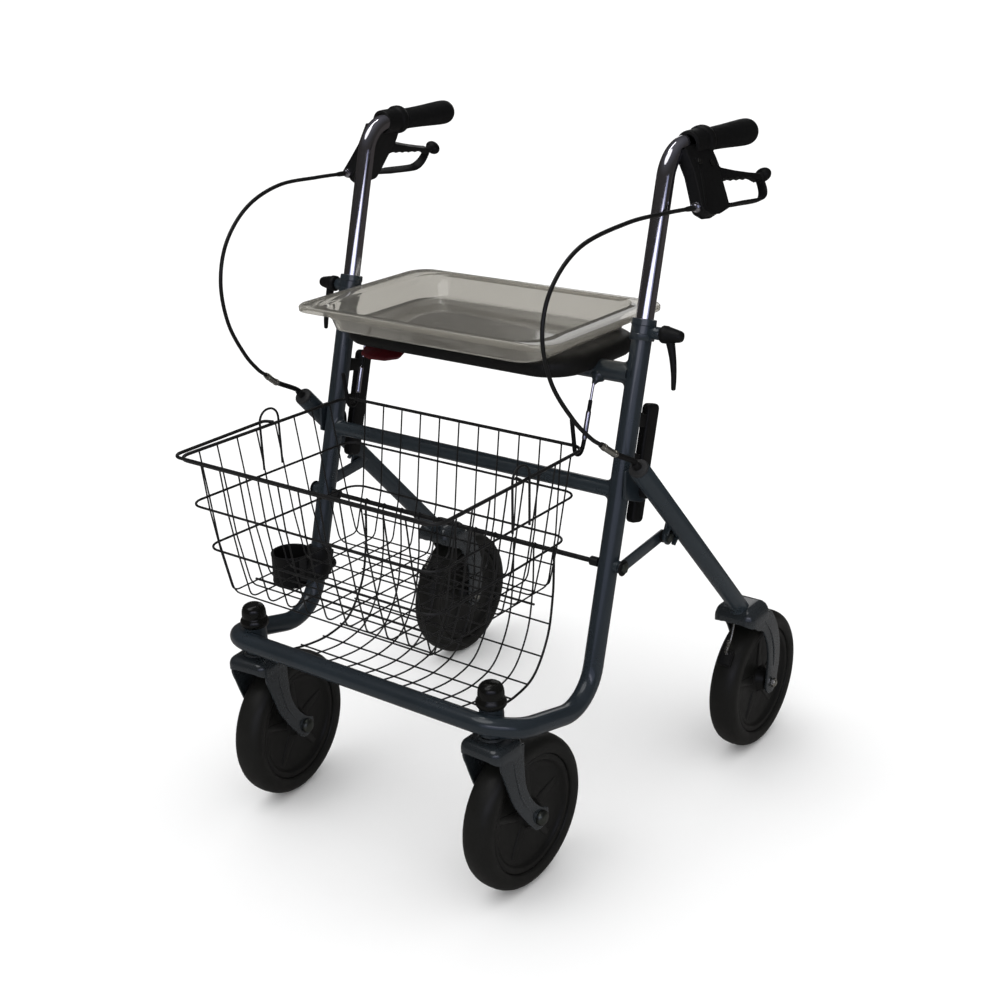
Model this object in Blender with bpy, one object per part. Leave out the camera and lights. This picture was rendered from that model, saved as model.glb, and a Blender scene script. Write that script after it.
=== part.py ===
"""Four-wheel steel rollator: seat, tray, wire basket, height-adjustable handles and
loop brakes. Metres, +Z up. X = 0 is the plane of symmetry, the rollator travels
towards -Y, the user stands on the +Y side, and the floor is z = 0.
"""

import math

import bmesh
import bpy
from mathutils import Matrix, Vector

# ---------------------------------------------------------------- dimensions
TUBE_R = 0.0125            # frame and leg tube, 25 mm
BORE_R = 0.0113            # bore of the uprights, takes the 22 mm handle tube
HANDLE_R = 0.0110
HANDLE_BORE_R = 0.0097
CROSS_R = 0.0100           # lower cross tube, 20 mm
FIT = 0.0003               # gap between touching pieces

HALF_X = 0.2313            # upright axis
LEAN = math.atan(0.2709)   # uprights lean back 15.2 degrees
UP = Vector((0.0, math.sin(LEAN), math.cos(LEAN)))
UPRIGHT_TOP_Z = 0.6745
BASE_Z = 0.2500            # axis of the front run
LOW_Z = 0.2077             # where the uprights would meet the side runs, which slope down to the back
BASE_FRONT_Y = -0.2800
BEND_BASE_R = 0.0620       # upright to side run
BEND_CORNER_R = 0.0500     # side run to front run

SEAT_TUBE_Z = 0.6110
LOWER_TUBE_Z = 0.4750

WHEEL_R = 0.1000
TYRE_HALF_W = 0.0205
TYRE_IN_R = 0.0770
RIM_R = 0.0760
STEM_X, STEM_Y = 0.1927, -0.2603
TRAIL = 0.0540
SWIVEL_R, SWIVEL_L = 1.7, -6.5   # degrees the casters stand turned at rest
REAR_X, REAR_Y = 0.2655, 0.2605
REAR_TRAIL = 0.0360

LEG_X = 0.2688
LEG_TOP_Z = 0.5150
LEG_PIVOT = Vector((0.0, -0.0196, 0.4700))
STRUT_B = Vector((0.0, -0.0699, 0.3875))   # lower end, on the upright
STRUT_C = Vector((0.0, 0.0240, 0.3970))    # upper end, on the leg

SEAT_TOP_Z = 0.6375
SEAT_THICK = 0.0260
TRAY_FLANGE_Z = 0.6690
TRAY_WALL = 0.0024

GRIP_B = Vector((0.2405, 0.2380, 0.8665))  # grip end
HOUSING_TILT = math.radians(27.5)

WIRE_R = 0.0025


def upright_y(z):
    return -0.0936 + math.tan(LEAN) * (z - 0.3)


def leg_y(z):
    return 0.0466 + 0.9464 * (0.4 - z)


LEG_DIR = Vector((0.0, 0.9464, -1.0)).normalized()   # down the leg
GRIP_A = Vector((HALF_X, upright_y(0.8688), 0.8688))  # where the upright line and the grip line meet

# ---------------------------------------------------------------- scene reset
for old in list(bpy.data.objects):
    bpy.data.objects.remove(old, do_unlink=True)


# ---------------------------------------------------------------- materials
def material(name, colour, roughness, metallic=0.0, alpha=1.0):
    mat = bpy.data.materials.new(name)
    mat.use_nodes = True
    shader = mat.node_tree.nodes["Principled BSDF"]
    shader.inputs["Base Color"].default_value = (*colour, 1.0)
    shader.inputs["Roughness"].default_value = roughness
    shader.inputs["Metallic"].default_value = metallic
    shader.inputs["Alpha"].default_value = alpha
    mat.diffuse_color = (*colour, alpha)
    return mat


SLATE = ("slate_paint", (0.030, 0.045, 0.062), 0.28, 0.35)
CHROME = ("chrome", (0.62, 0.63, 0.65), 0.10, 1.0)
BLACK = ("black_plastic", (0.012, 0.012, 0.013), 0.45)
RUBBER = ("black_rubber", (0.016, 0.016, 0.017), 0.70)
VINYL = ("seat_black", (0.014, 0.014, 0.014), 0.55)
SMOKE = ("smoked_plastic", (0.30, 0.27, 0.20), 0.12, 0.0, 0.55)
RED = ("red_plastic", (0.30, 0.010, 0.016), 0.40)
WIRE = ("black_wire", (0.015, 0.015, 0.016), 0.40)
ZINC = ("zinc_steel", (0.50, 0.50, 0.50), 0.35, 1.0)


# ---------------------------------------------------------------- mesh helpers
def make(name, verts, faces):
    """A closed mesh object with its faces pointing out."""
    mesh = bpy.data.meshes.new(name)
    mesh.from_pydata([tuple(v) for v in verts], [], faces)
    bm = bmesh.new()
    bm.from_mesh(mesh)
    bmesh.ops.recalc_face_normals(bm, faces=bm.faces)
    if bm.calc_volume(signed=True) < 0:
        bmesh.ops.reverse_faces(bm, faces=bm.faces)
    bm.to_mesh(mesh)
    bm.free()
    obj = bpy.data.objects.new(name, mesh)
    bpy.context.scene.collection.objects.link(obj)
    return obj


def drop(obj):
    mesh = obj.data
    bpy.data.objects.remove(obj, do_unlink=True)
    bpy.data.meshes.remove(mesh)


def boolean(target, tool, operation, keep=False):
    mod = target.modifiers.new("bool", "BOOLEAN")
    mod.operation = operation
    mod.object = tool
    mod.solver = "EXACT"
    bpy.context.view_layer.update()
    graph = bpy.context.evaluated_depsgraph_get()
    mesh = bpy.data.meshes.new_from_object(target.evaluated_get(graph))
    target.modifiers.clear()
    old = target.data
    target.data = mesh
    bpy.data.meshes.remove(old)
    if not keep:
        drop(tool)
    return target


def union(target, *tools):
    for tool in tools:
        boolean(target, tool, "UNION")
    return target


def cut(target, *tools):
    for tool in tools:
        boolean(target, tool, "DIFFERENCE")
    return target


def finish(obj, name, look, origin=None, angle=38.0):
    """Names the piece, welds stray points, sets its material and its origin."""
    mat = bpy.data.materials.get(look[0]) or material(*look)
    own = mat.copy()
    own.name = f"{look[0]}_{name}"
    obj.name = name
    obj.data.name = name
    bm = bmesh.new()
    bm.from_mesh(obj.data)
    bmesh.ops.remove_doubles(bm, verts=bm.verts, dist=1e-6)
    bmesh.ops.dissolve_degenerate(bm, edges=bm.edges, dist=1e-6)
    bm.to_mesh(obj.data)
    bm.free()
    obj.data.materials.clear()
    obj.data.materials.append(own)
    obj.data.shade_smooth()
    obj.data.set_sharp_from_angle(angle=math.radians(angle))
    if origin is not None:
        origin = Vector(origin)
        obj.data.transform(Matrix.Translation(-origin))
        obj.location = origin
    return obj


def mirrored(obj, name, origin=None):
    """The same piece on the other side of the plane of symmetry."""
    mesh = obj.data.copy()
    mesh.transform(Matrix.Translation(obj.location))
    mesh.transform(Matrix.Scale(-1.0, 4, (1, 0, 0)))
    mesh.flip_normals()
    other = bpy.data.objects.new(name, mesh)
    mesh.name = name
    mat = mesh.materials[0].copy()
    mat.name = f"{obj.data.materials[0].name}_other"
    mesh.materials[0] = mat
    bpy.context.scene.collection.objects.link(other)
    if origin is not None:
        origin = Vector(origin)
        mesh.transform(Matrix.Translation(-origin))
        other.location = origin
    return other


def turn(obj, centre, axis, degrees):
    """Turns the mesh of an object that has its origin at the world's."""
    c = Matrix.Translation(Vector(centre))
    obj.data.transform(c @ Matrix.Rotation(math.radians(degrees), 4, axis) @ c.inverted())
    return obj


def fillet(points, radii, steps=5):
    """A polyline whose inner corners are replaced by arcs of the given radii."""
    path = [Vector(points[0])]
    for i in range(1, len(points) - 1):
        p, a, b = Vector(points[i]), Vector(points[i - 1]), Vector(points[i + 1])
        u, v = (a - p).normalized(), (b - p).normalized()
        half = math.acos(max(-1.0, min(1.0, u.dot(v)))) / 2
        reach = radii[i - 1] / math.tan(half)
        centre = p + (u + v).normalized() * (radii[i - 1] / math.sin(half))
        start, end = p + u * reach - centre, p + v * reach - centre
        sweep = start.angle(end)
        for k in range(steps + 1):
            t = k / steps
            path.append(centre + (start * math.sin((1 - t) * sweep)
                                  + end * math.sin(t * sweep)) / math.sin(sweep))
    path.append(Vector(points[-1]))
    return path


def smooth(points, count):
    """Evenly spread points on a smooth curve through the given ones."""
    pts = [Vector(p) for p in points]
    pts = [2 * pts[0] - pts[1]] + pts + [2 * pts[-1] - pts[-2]]
    fine = []
    for i in range(1, len(pts) - 2):
        p0, p1, p2, p3 = pts[i - 1:i + 3]
        for k in range(24):
            t = k / 24
            fine.append(0.5 * ((2 * p1) + (p2 - p0) * t
                               + (2 * p0 - 5 * p1 + 4 * p2 - p3) * t * t
                               + (3 * p1 - p0 - 3 * p2 + p3) * t ** 3))
    fine.append(pts[-2])
    run = [0.0]
    for a, b in zip(fine, fine[1:]):
        run.append(run[-1] + (b - a).length)
    out, j = [], 0
    for k in range(count):
        want = run[-1] * k / (count - 1)
        while j < len(run) - 2 and run[j + 1] < want:
            j += 1
        span = run[j + 1] - run[j] or 1.0
        out.append(fine[j].lerp(fine[j + 1], (want - run[j]) / span))
    return out


def frames(path):
    """Section planes along a path, turned as little as possible from one to the next."""
    tangents = []
    for i in range(len(path)):
        a = path[max(i - 1, 0)]
        b = path[min(i + 1, len(path) - 1)]
        if 0 < i < len(path) - 1:
            t = (path[i] - a).normalized() + (b - path[i]).normalized()
        else:
            t = b - a
        tangents.append(t.normalized())
    side = tangents[0].orthogonal().normalized()
    if abs(tangents[0].x) < 0.95:
        side = (Vector((1, 0, 0)) - tangents[0] * tangents[0].x).normalized()
    out = []
    for i, t in enumerate(tangents):
        if i:
            side = tangents[i - 1].rotation_difference(t) @ side
            side = (side - t * side.dot(t)).normalized()
        out.append((t, side, t.cross(side)))
    return out


def sweep(name, path, radius, sides=16, bore=None):
    """A round bar along a path, or with a bore a tube open at both ends."""
    path = [Vector(p) for p in path]
    verts, faces = [], []
    n = len(path)

    def rings(r):
        first = len(verts)
        for i, (p, (t, u, v)) in enumerate(zip(path, frames(path))):
            stretch = 1.0
            if 0 < i < n - 1:
                bend = (path[i] - path[i - 1]).angle(path[i + 1] - path[i])
                stretch = 1.0 / max(math.cos(bend / 2), 0.6)
            rr = r[i] if isinstance(r, (list, tuple)) else r
            for k in range(sides):
                a = 2 * math.pi * (k + 0.5) / sides
                verts.append(p + (u * math.cos(a) + v * math.sin(a)) * rr)
        return first

    outer = rings(radius)
    for i in range(n - 1):
        for k in range(sides):
            a, b = outer + i * sides + k, outer + i * sides + (k + 1) % sides
            faces.append((a, b, b + sides, a + sides))
    if bore is None:
        faces.append(tuple(outer + k for k in range(sides)))
        faces.append(tuple(outer + (n - 1) * sides + k for k in range(sides)))
    else:
        inner = rings(bore)
        for i in range(n - 1):
            for k in range(sides):
                a, b = inner + i * sides + k, inner + i * sides + (k + 1) % sides
                faces.append((a, a + sides, b + sides, b))
        for ring in (0, (n - 1) * sides):
            for k in range(sides):
                k2 = (k + 1) % sides
                faces.append((outer + ring + k, outer + ring + k2,
                              inner + ring + k2, inner + ring + k))
    return make(name, verts, faces)


def rod(name, a, b, radius, sides=16, bore=None):
    return sweep(name, [a, b], radius, sides, bore)


def turned(name, profile, origin, axis, sides=16):
    """Turns a closed profile of (radius, height) points about an axis.
    A point of radius 0 lies on the axis."""
    axis = Vector(axis).normalized()
    u = axis.orthogonal().normalized()
    if abs(axis.x) > 0.9:
        u = Vector((0, 1, 0))
    elif abs(axis.z) > 0.9:
        u = Vector((1, 0, 0))
    v = axis.cross(u)
    origin = Vector(origin)
    verts, index = [], []
    for r, h in profile:
        if r < 1e-7:
            index.append([len(verts)] * sides)
            verts.append(origin + axis * h)
        else:
            index.append(list(range(len(verts), len(verts) + sides)))
            for k in range(sides):
                a = 2 * math.pi * (k + 0.5) / sides
                verts.append(origin + axis * h + (u * math.cos(a) + v * math.sin(a)) * r)
    faces = []
    closed = profile[0][0] > 1e-7
    count = len(profile)
    for i in range(count if closed else count - 1):
        j = (i + 1) % count
        for k in range(sides):
            k2 = (k + 1) % sides
            quad = [index[i][k], index[i][k2], index[j][k2], index[j][k]]
            quad = [q for n, q in enumerate(quad) if q not in quad[:n]]
            if len(quad) > 2:
                faces.append(tuple(quad))
    return make(name, verts, faces)


def slab(name, outline, depth0, depth1, origin, u, v, w):
    """A flat piece: an outline in the u, v plane, from depth0 to depth1 along w."""
    origin, u, v, w = Vector(origin), Vector(u), Vector(v), Vector(w)
    n = len(outline)
    verts = [origin + u * a + v * b + w * d for d in (depth0, depth1) for a, b in outline]
    faces = [tuple(range(n)), tuple(range(2 * n - 1, n - 1, -1))]
    for k in range(n):
        k2 = (k + 1) % n
        faces.append((k, k2, n + k2, n + k))
    return make(name, verts, faces)


def side_slab(name, outline, x0, x1):
    """A flat piece standing in the Y, Z plane."""
    return slab(name, outline, x0, x1, (0, 0, 0), (0, 1, 0), (0, 0, 1), (1, 0, 0))


def rounded(points, radii, steps=3):
    """A closed outline with its corners rounded."""
    if not isinstance(radii, (list, tuple)):
        radii = [radii] * len(points)
    out = []
    count = len(points)
    for i, p in enumerate(points):
        r = radii[i]
        if r <= 0:
            out.append(tuple(p))
            continue
        arc = fillet([(*points[i - 1], 0), (*p, 0), (*points[(i + 1) % count], 0)], [r], steps)
        out += [(q.x, q.y) for q in arc[1:-1]]
    return out


def box_outline(x0, x1, y0, y1, r, steps=3):
    return rounded([(x0, y0), (x1, y0), (x1, y1), (x0, y1)], r, steps)


def loft(name, loops, closed=False):
    """Joins loops of equal length; the ends are filled, or joined to each other."""
    verts = [p for loop in loops for p in loop]
    n, m = len(loops[0]), len(loops)
    faces = []
    for i in range(m if closed else m - 1):
        j = (i + 1) % m
        for k in range(n):
            k2 = (k + 1) % n
            faces.append((i * n + k, i * n + k2, j * n + k2, j * n + k))
    if not closed:
        faces.append(tuple(range(n)))
        faces.append(tuple((m - 1) * n + k for k in range(n)))
    return make(name, verts, faces)


def block(name, lo, hi):
    x0, y0, z0 = lo
    x1, y1, z1 = hi
    return slab(name, [(x0, y0), (x1, y0), (x1, y1), (x0, y1)], z0, z1,
                (0, 0, 0), (1, 0, 0), (0, 1, 0), (0, 0, 1))


def ball(name, centre, radius, sides=12, rings=6):
    profile = [(radius * math.sin(math.pi * i / rings), -radius * math.cos(math.pi * i / rings))
               for i in range(rings + 1)]
    profile[0] = (0.0, -radius)
    profile[-1] = (0.0, radius)
    return turned(name, profile, centre, (0, 0, 1), sides)


def empty(name, place, parent=None):
    e = bpy.data.objects.new(name, None)
    e.empty_display_size = 0.03
    bpy.context.scene.collection.objects.link(e)
    e.location = place
    if parent is not None:
        adopt(parent, e)
    return e


def adopt(parent, *children):
    """Parents each child, keeping it where it is. No parent here is turned or scaled."""
    bpy.context.view_layer.update()
    for child in children:
        child.location = child.location - parent.matrix_world.translation
        child.parent = parent
    bpy.context.view_layer.update()


def at_upright(z, side=1.0):
    return Vector((side * HALF_X, upright_y(z), z))


# ================================================================ main frame
right_top = at_upright(UPRIGHT_TOP_Z)
frame_points = [right_top, at_upright(LOW_Z), (HALF_X, BASE_FRONT_Y, BASE_Z),
                (-HALF_X, BASE_FRONT_Y, BASE_Z), at_upright(LOW_Z, -1),
                at_upright(UPRIGHT_TOP_Z, -1)]
frame_path = fillet(frame_points,
                    [BEND_BASE_R, BEND_CORNER_R, BEND_CORNER_R, BEND_BASE_R], 5)
frame = sweep("frame", frame_path, TUBE_R, 16)
tube_clear = sweep("tube_clear", frame_path, TUBE_R + FIT, 16)

GUSSET = rounded([(-0.056, 0.506), (-0.040, 0.506), (-0.006, 0.484), (-0.006, 0.456),
                  (-0.020, 0.455), (-0.058, 0.470)],
                 [0.001, 0.006, 0.010, 0.008, 0.010, 0.001], 3)
for s in (1, -1):
    # head tube inside the front corner, with its bore for the fork stem
    union(frame, rod("head", (s * STEM_X, STEM_Y, 0.2300), (s * STEM_X, STEM_Y, 0.2622), 0.0150, 20))
    cut(frame, rod("head_bore", (s * STEM_X, STEM_Y, 0.20), (s * STEM_X, STEM_Y, 0.30), 0.0066, 12))
    # plate that carries the leg pivot
    union(frame, side_slab("gusset", GUSSET, *sorted((s * 0.2436, s * 0.2471))),
          slab("weld", [(-0.022, -0.009), (0.022, -0.009), (0.022, 0.009), (-0.022, 0.009)],
               *sorted((s * 0.0080, s * 0.0135)), at_upright(0.4820, s), UP, (0, UP.z, -UP.y), (1, 0, 0)))
    cut(frame, rod("pivot_hole", (s * 0.230, LEG_PIVOT.y, LEG_PIVOT.z),
                   (s * 0.250, LEG_PIVOT.y, LEG_PIVOT.z), 0.0053, 12))
    # boss for the lower strut bolt
    union(frame, rod("boss", (s * 0.2395, STRUT_B.y, STRUT_B.z),
                     (s * 0.2475, STRUT_B.y, STRUT_B.z), 0.0075, 12))
    # bore that takes the handle tube, cut last so that it is clear along its whole length
    cut(frame, rod("bore", at_upright(0.425, s), at_upright(0.70, s), BORE_R, 16))
finish(frame, "frame_tube", SLATE)

# cross tubes, their ends cut to the uprights
seat_tube = rod("seat_tube", (-0.224, upright_y(SEAT_TUBE_Z), SEAT_TUBE_Z),
                (0.224, upright_y(SEAT_TUBE_Z), SEAT_TUBE_Z), TUBE_R, 16)
lower_tube = rod("lower_tube", (-0.224, upright_y(LOWER_TUBE_Z), LOWER_TUBE_Z),
                 (0.224, upright_y(LOWER_TUBE_Z), LOWER_TUBE_Z), CROSS_R, 16)
for s in (1, -1):
    for tube in (seat_tube, lower_tube):
        cut(tube, rod("saddle", at_upright(0.40, s), at_upright(0.68, s), TUBE_R + FIT, 16))
HANGER_X = 0.182
for s in (1, -1):
    union(seat_tube, rod("hanger_lug", (s * HANGER_X, -0.0120, 0.6070),
                         (s * HANGER_X, -0.0245, 0.5995), 0.0045, 10))
finish(seat_tube, "seat_cross_tube", SLATE)
finish(lower_tube, "lower_cross_tube", SLATE)

# rod behind the basket and the wire guard that hangs from it
ROD_Y, ROD_Z = upright_y(0.3870), 0.3870
guard_rod = rod("guard_rod", (-0.2184, ROD_Y, ROD_Z), (0.2184, ROD_Y, ROD_Z), 0.0032, 10)
for s in (1, -1):
    union(guard_rod, rod("collar", (s * 0.2060, ROD_Y, ROD_Z), (s * 0.2180, ROD_Y, ROD_Z), 0.0060, 12))
finish(guard_rod, "guard_rod", WIRE)

guard_curve = smooth([(0, -0.0745, 0.3830), (0, -0.0770, 0.345), (0, -0.0830, 0.305),
                      (0, -0.0960, 0.265), (0, -0.1210, 0.2370), (0, -0.1600, 0.2255),
                      (0, -0.2050, 0.2275), (0, -0.2630, 0.2405)], 13)
inner_side, outer_side = [], []
for i, p in enumerate(guard_curve):
    a = guard_curve[max(i - 1, 0)]
    b = guard_curve[min(i + 1, len(guard_curve) - 1)]
    t = (b - a).normalized()
    nrm = Vector((0, t.z, -t.y))
    inner_side.append(p + nrm * 0.0013)
    outer_side.append(p - nrm * 0.0013)
lower_guard = side_slab("lower_guard",
                        [(p.y, p.z) for p in inner_side] + [(p.y, p.z) for p in reversed(outer_side)],
                        -0.155, 0.155)
finish(lower_guard, "lower_wire_guard", WIRE)

# clamp collars at the tops of the uprights, each with the boss of its lever
COLLAR_Z0, COLLAR_Z1 = 0.6510, 0.6755
CLAMP_Y, CLAMP_Z = upright_y(0.6610) + 0.0010, 0.6610
collar = rod("collar", at_upright(COLLAR_Z0), at_upright(COLLAR_Z1), 0.0144, 20)
union(collar, rod("boss", (HALF_X + 0.008, CLAMP_Y, CLAMP_Z), (0.2560, CLAMP_Y, CLAMP_Z), 0.0068, 12))
cut(collar, rod("bore", at_upright(0.60), at_upright(0.70), TUBE_R + FIT, 20),
    rod("screw_hole", (0.2500, CLAMP_Y, CLAMP_Z), (0.2600, CLAMP_Y, CLAMP_Z), 0.0035, 10))
finish(collar, "clamp_collar_R", SLATE)
mirrored(collar, "clamp_collar_L")

# clamp lever: a conical knob on a screw, with a tapering handle that hangs down
lever = turned("clamp", [(0.0, 0.0), (0.0030, 0.0), (0.0030, 0.0060), (0.0098, 0.0060),
                         (0.0098, 0.0160), (0.0075, 0.0300), (0.0040, 0.0325), (0.0, 0.0330)],
               (0.2503, CLAMP_Y, CLAMP_Z), (1, 0, 0), 14)
handle = sweep("handle", [(0.2690, CLAMP_Y, CLAMP_Z - 0.002), (0.2725, CLAMP_Y - 0.002, 0.6450),
                          (0.2755, CLAMP_Y - 0.004, 0.6250), (0.2765, CLAMP_Y - 0.006, 0.5975)],
               [0.0062, 0.0048, 0.0040, 0.0030], 10)
union(lever, handle)
CLAMP_ORIGIN = (0.2560, CLAMP_Y, CLAMP_Z)
finish(lever, "clamp_lever_R", BLACK, CLAMP_ORIGIN)
clamp_lever_L = mirrored(lever, "clamp_lever_L", (-0.2560, CLAMP_Y, CLAMP_Z))

# side pads behind the uprights, each on two stand-offs
along, across = UP, Vector((0.0, math.cos(LEAN), -math.sin(LEAN)))
pad_mid = at_upright(0.5070)
pad = slab("pad", box_outline(-0.0740, 0.0740, 0.0320, 0.0575, 0.006, 3),
           0.2262 - HALF_X, 0.2384 - HALF_X, pad_mid, along, across, (1, 0, 0))
for z, tall in ((0.5585, 0.0085), (0.5125, 0.0065)):
    m = at_upright(z)
    arm = slab("arm", [(-tall, TUBE_R - 0.006), (tall, TUBE_R - 0.006), (tall, 0.036), (-tall, 0.036)],
               -0.0040, 0.0040, m, along, across, (1, 0, 0))
    union(pad, arm)
cut(pad, rod("clear", at_upright(0.40), at_upright(0.62), TUBE_R + FIT, 16))
finish(pad, "side_pad_R", BLACK)
mirrored(pad, "side_pad_L")

# cane cup on the left upright and the strap that holds it
CUP_X, CUP_Y, CUP_Z = -0.2745, -0.1045, 0.2520
cup = turned("cup", [(0.0, 0.0), (0.0280, 0.0), (0.0286, 0.0060), (0.0286, 0.0460), (0.0256, 0.0460),
                     (0.0256, 0.0030), (0.0, 0.0030)], (CUP_X, CUP_Y, CUP_Z), (0, 0, 1), 32)
saddle = block("saddle", (-0.2478, -0.1180, 0.2700), (-0.2380, -0.0880, 0.2960))
union(cup, saddle)
strap = rod("strap", at_upright(0.2680, -1), at_upright(0.3120, -1), 0.0172, 20)
union(strap, rod("knob_stem", (-HALF_X, -0.0900, 0.2860), (-HALF_X, -0.0745, 0.2860), 0.0040, 10),
      rod("knob", (-HALF_X, -0.0785, 0.2860), (-HALF_X, -0.0700, 0.2860), 0.0070, 12))
boolean(strap, tube_clear, "DIFFERENCE", keep=True)
strap_clear = rod("strap_clear", at_upright(0.2500, -1), at_upright(0.3200, -1), 0.0172 + FIT, 20)
cut(cup, strap_clear)
boolean(cup, tube_clear, "DIFFERENCE", keep=True)
drop(tube_clear)
finish(cup, "cane_cup", BLACK)
finish(strap, "cane_cup_strap", BLACK)

# fork stem caps on the head tubes
cap = turned("cap", [(0.0109, 0.0), (0.0184, 0.0), (0.0184, 0.0050), (0.0162, 0.0130), (0.0156, 0.0180),
                     (0.0152, 0.0260), (0.0138, 0.0330), (0.0095, 0.0378), (0.0, 0.0388),
                     (0.0, 0.0190), (0.0109, 0.0190)],
             (STEM_X, STEM_Y, 0.2626), (0, 0, 1), 18)
finish(cap, "stem_cap_R", BLACK)
mirrored(cap, "stem_cap_L")

# basket hangers: rods below the seat cross tube that end in a hook
hanger = sweep("hanger", smooth([(HANGER_X, -0.0262, 0.5970), (HANGER_X, -0.0330, 0.5780),
                                 (HANGER_X, -0.0420, 0.5500), (HANGER_X, -0.0495, 0.5260),
                                 (HANGER_X, -0.0570, 0.5168), (HANGER_X, -0.0668, 0.5205),
                                 (HANGER_X, -0.0700, 0.5380), (HANGER_X, -0.0739, 0.5640)], 19), 0.0024, 8)
finish(hanger, "basket_hanger_R", CHROME)
mirrored(hanger, "basket_hanger_L")

# leg pivot bolts: head on the inner side of the plate, shank into the leg
pivot = rod("pivot", (0.2400, LEG_PIVOT.y, LEG_PIVOT.z), (0.2690, LEG_PIVOT.y, LEG_PIVOT.z), 0.0049, 12)
union(pivot, rod("head", (0.2395, LEG_PIVOT.y, LEG_PIVOT.z), (0.2433, LEG_PIVOT.y, LEG_PIVOT.z), 0.0066, 6),
      rod("washer", (0.2474, LEG_PIVOT.y, LEG_PIVOT.z), (0.2558, LEG_PIVOT.y, LEG_PIVOT.z), 0.0080, 12))
finish(pivot, "leg_pivot_bolt_R", ZINC)
mirrored(pivot, "leg_pivot_bolt_L")

# ================================================================ seat and tray
SEAT_Y = upright_y(SEAT_TUBE_Z)
SEAT_Z0 = SEAT_TOP_Z - SEAT_THICK


def seat_loop(grow, z, steps=5):
    pts = box_outline(-0.1820 - grow, 0.1820 + grow, -0.0900 - grow, 0.1000 + grow, 0.052 + grow, steps)
    return [Vector((a, b, z)) for a, b in pts]


seat = loft("seat", [seat_loop(-0.006, SEAT_Z0), seat_loop(0.0, SEAT_Z0 + 0.006),
                     seat_loop(0.0, SEAT_TOP_Z - 0.007), seat_loop(-0.007, SEAT_TOP_Z)])
cut(seat, rod("groove", (-0.25, SEAT_Y, SEAT_TUBE_Z), (0.25, SEAT_Y, SEAT_TUBE_Z), TUBE_R + 0.0005, 16),
    block("slot", (-0.25, SEAT_Y - TUBE_R + 0.0002, 0.600), (0.25, SEAT_Y + TUBE_R - 0.0002, SEAT_TUBE_Z)))
SEAT_AXIS = (0.0, SEAT_Y, SEAT_TUBE_Z)
finish(seat, "seat", VINYL, SEAT_AXIS)

RED_PIVOT = (-0.134, -0.0300, 0.6030)
red = side_slab("red", rounded([(-0.0272, 0.6060), (-0.0272, 0.6005), (-0.0420, 0.5945), (-0.0640, 0.5870),
                                (-0.0658, 0.5905), (-0.0430, 0.6020)],
                               [0.002, 0.002, 0.006, 0.001, 0.001, 0.006], 2), -0.1650, -0.0990)
cut(red, block("taper", (-0.120, -0.09, 0.55), (-0.090, -0.057, 0.62)))
finish(red, "red_release_lever", RED, RED_PIVOT)

TRAY_Y0, TRAY_Y1, TRAY_X = -0.1460, 0.1170, 0.2010


def tray_loop(x, y0, y1, r, z):
    return [Vector((a, b, z)) for a, b in box_outline(-x, x, y0, y1, r, 4)]


T = TRAY_WALL
FLOOR_Z = SEAT_TOP_Z + 0.0004
tray = loft("tray", [
    tray_loop(0.1560, -0.1200, 0.0910, 0.020, FLOOR_Z + T),
    tray_loop(0.1660, -0.1310, 0.1020, 0.028, TRAY_FLANGE_Z),
    tray_loop(TRAY_X - 0.004, TRAY_Y0 + 0.004, TRAY_Y1 - 0.004, 0.026, TRAY_FLANGE_Z),
    tray_loop(TRAY_X, TRAY_Y0, TRAY_Y1, 0.030, TRAY_FLANGE_Z - 0.0040),
    tray_loop(TRAY_X - T, TRAY_Y0 + T, TRAY_Y1 - T, 0.028, TRAY_FLANGE_Z - 0.0044),
    tray_loop(TRAY_X - 0.006, TRAY_Y0 + 0.006, TRAY_Y1 - 0.006, 0.024, TRAY_FLANGE_Z - T),
    tray_loop(0.1660 + T, -0.1310 - T, 0.1020 + T, 0.030, TRAY_FLANGE_Z - T),
    tray_loop(0.1560 + T, -0.1200 - T, 0.0910 + T, 0.022, FLOOR_Z),
])
finish(tray, "tray", SMOKE)

# ================================================================ basket
RIM_Z = 0.5265
BASKET = [  # height, half-width in front, half-width behind, front y, rear y
    (0.3490, 0.1500, 0.1440, -0.3130, -0.1010),
    (0.3600, 0.1620, 0.1560, -0.3240, -0.0900),
    (0.4100, 0.1790, 0.1720, -0.3370, -0.0750),
    (0.4680, 0.1890, 0.1820, -0.3480, -0.0680),
    (RIM_Z, 0.2000, 0.1920, -0.3550, -0.0600),
]
BASKET_WALL = 0.0022


def basket_loop(row, inset, z=None):
    height, front, rear, y0, y1 = row
    pts = rounded([(-front + inset, y0 + inset), (front - inset, y0 + inset),
                   (rear - inset, y1 - inset), (-rear + inset, y1 - inset)],
                  [0.018, 0.018, 0.0095, 0.0095], 3)
    return [Vector((a, b, height if z is None else z)) for a, b in pts]


basket_loops = [basket_loop(row, 0.0) for row in BASKET]
basket_loops += [basket_loop(row, BASKET_WALL) for row in reversed(BASKET[1:])]
basket_loops.append(basket_loop(BASKET[0], BASKET_WALL, BASKET[0][0] + BASKET_WALL))
basket = loft("basket", basket_loops)
for s in (1, -1):
    # opening in the rear wall for the hanger's hook, with the rim left above it
    cut(basket, block("slot", (s * HANGER_X - 0.0050, -0.0900, 0.4400), (s * HANGER_X + 0.0050, -0.0400, 0.5224)))
finish(basket, "basket", WIRE)

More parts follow.
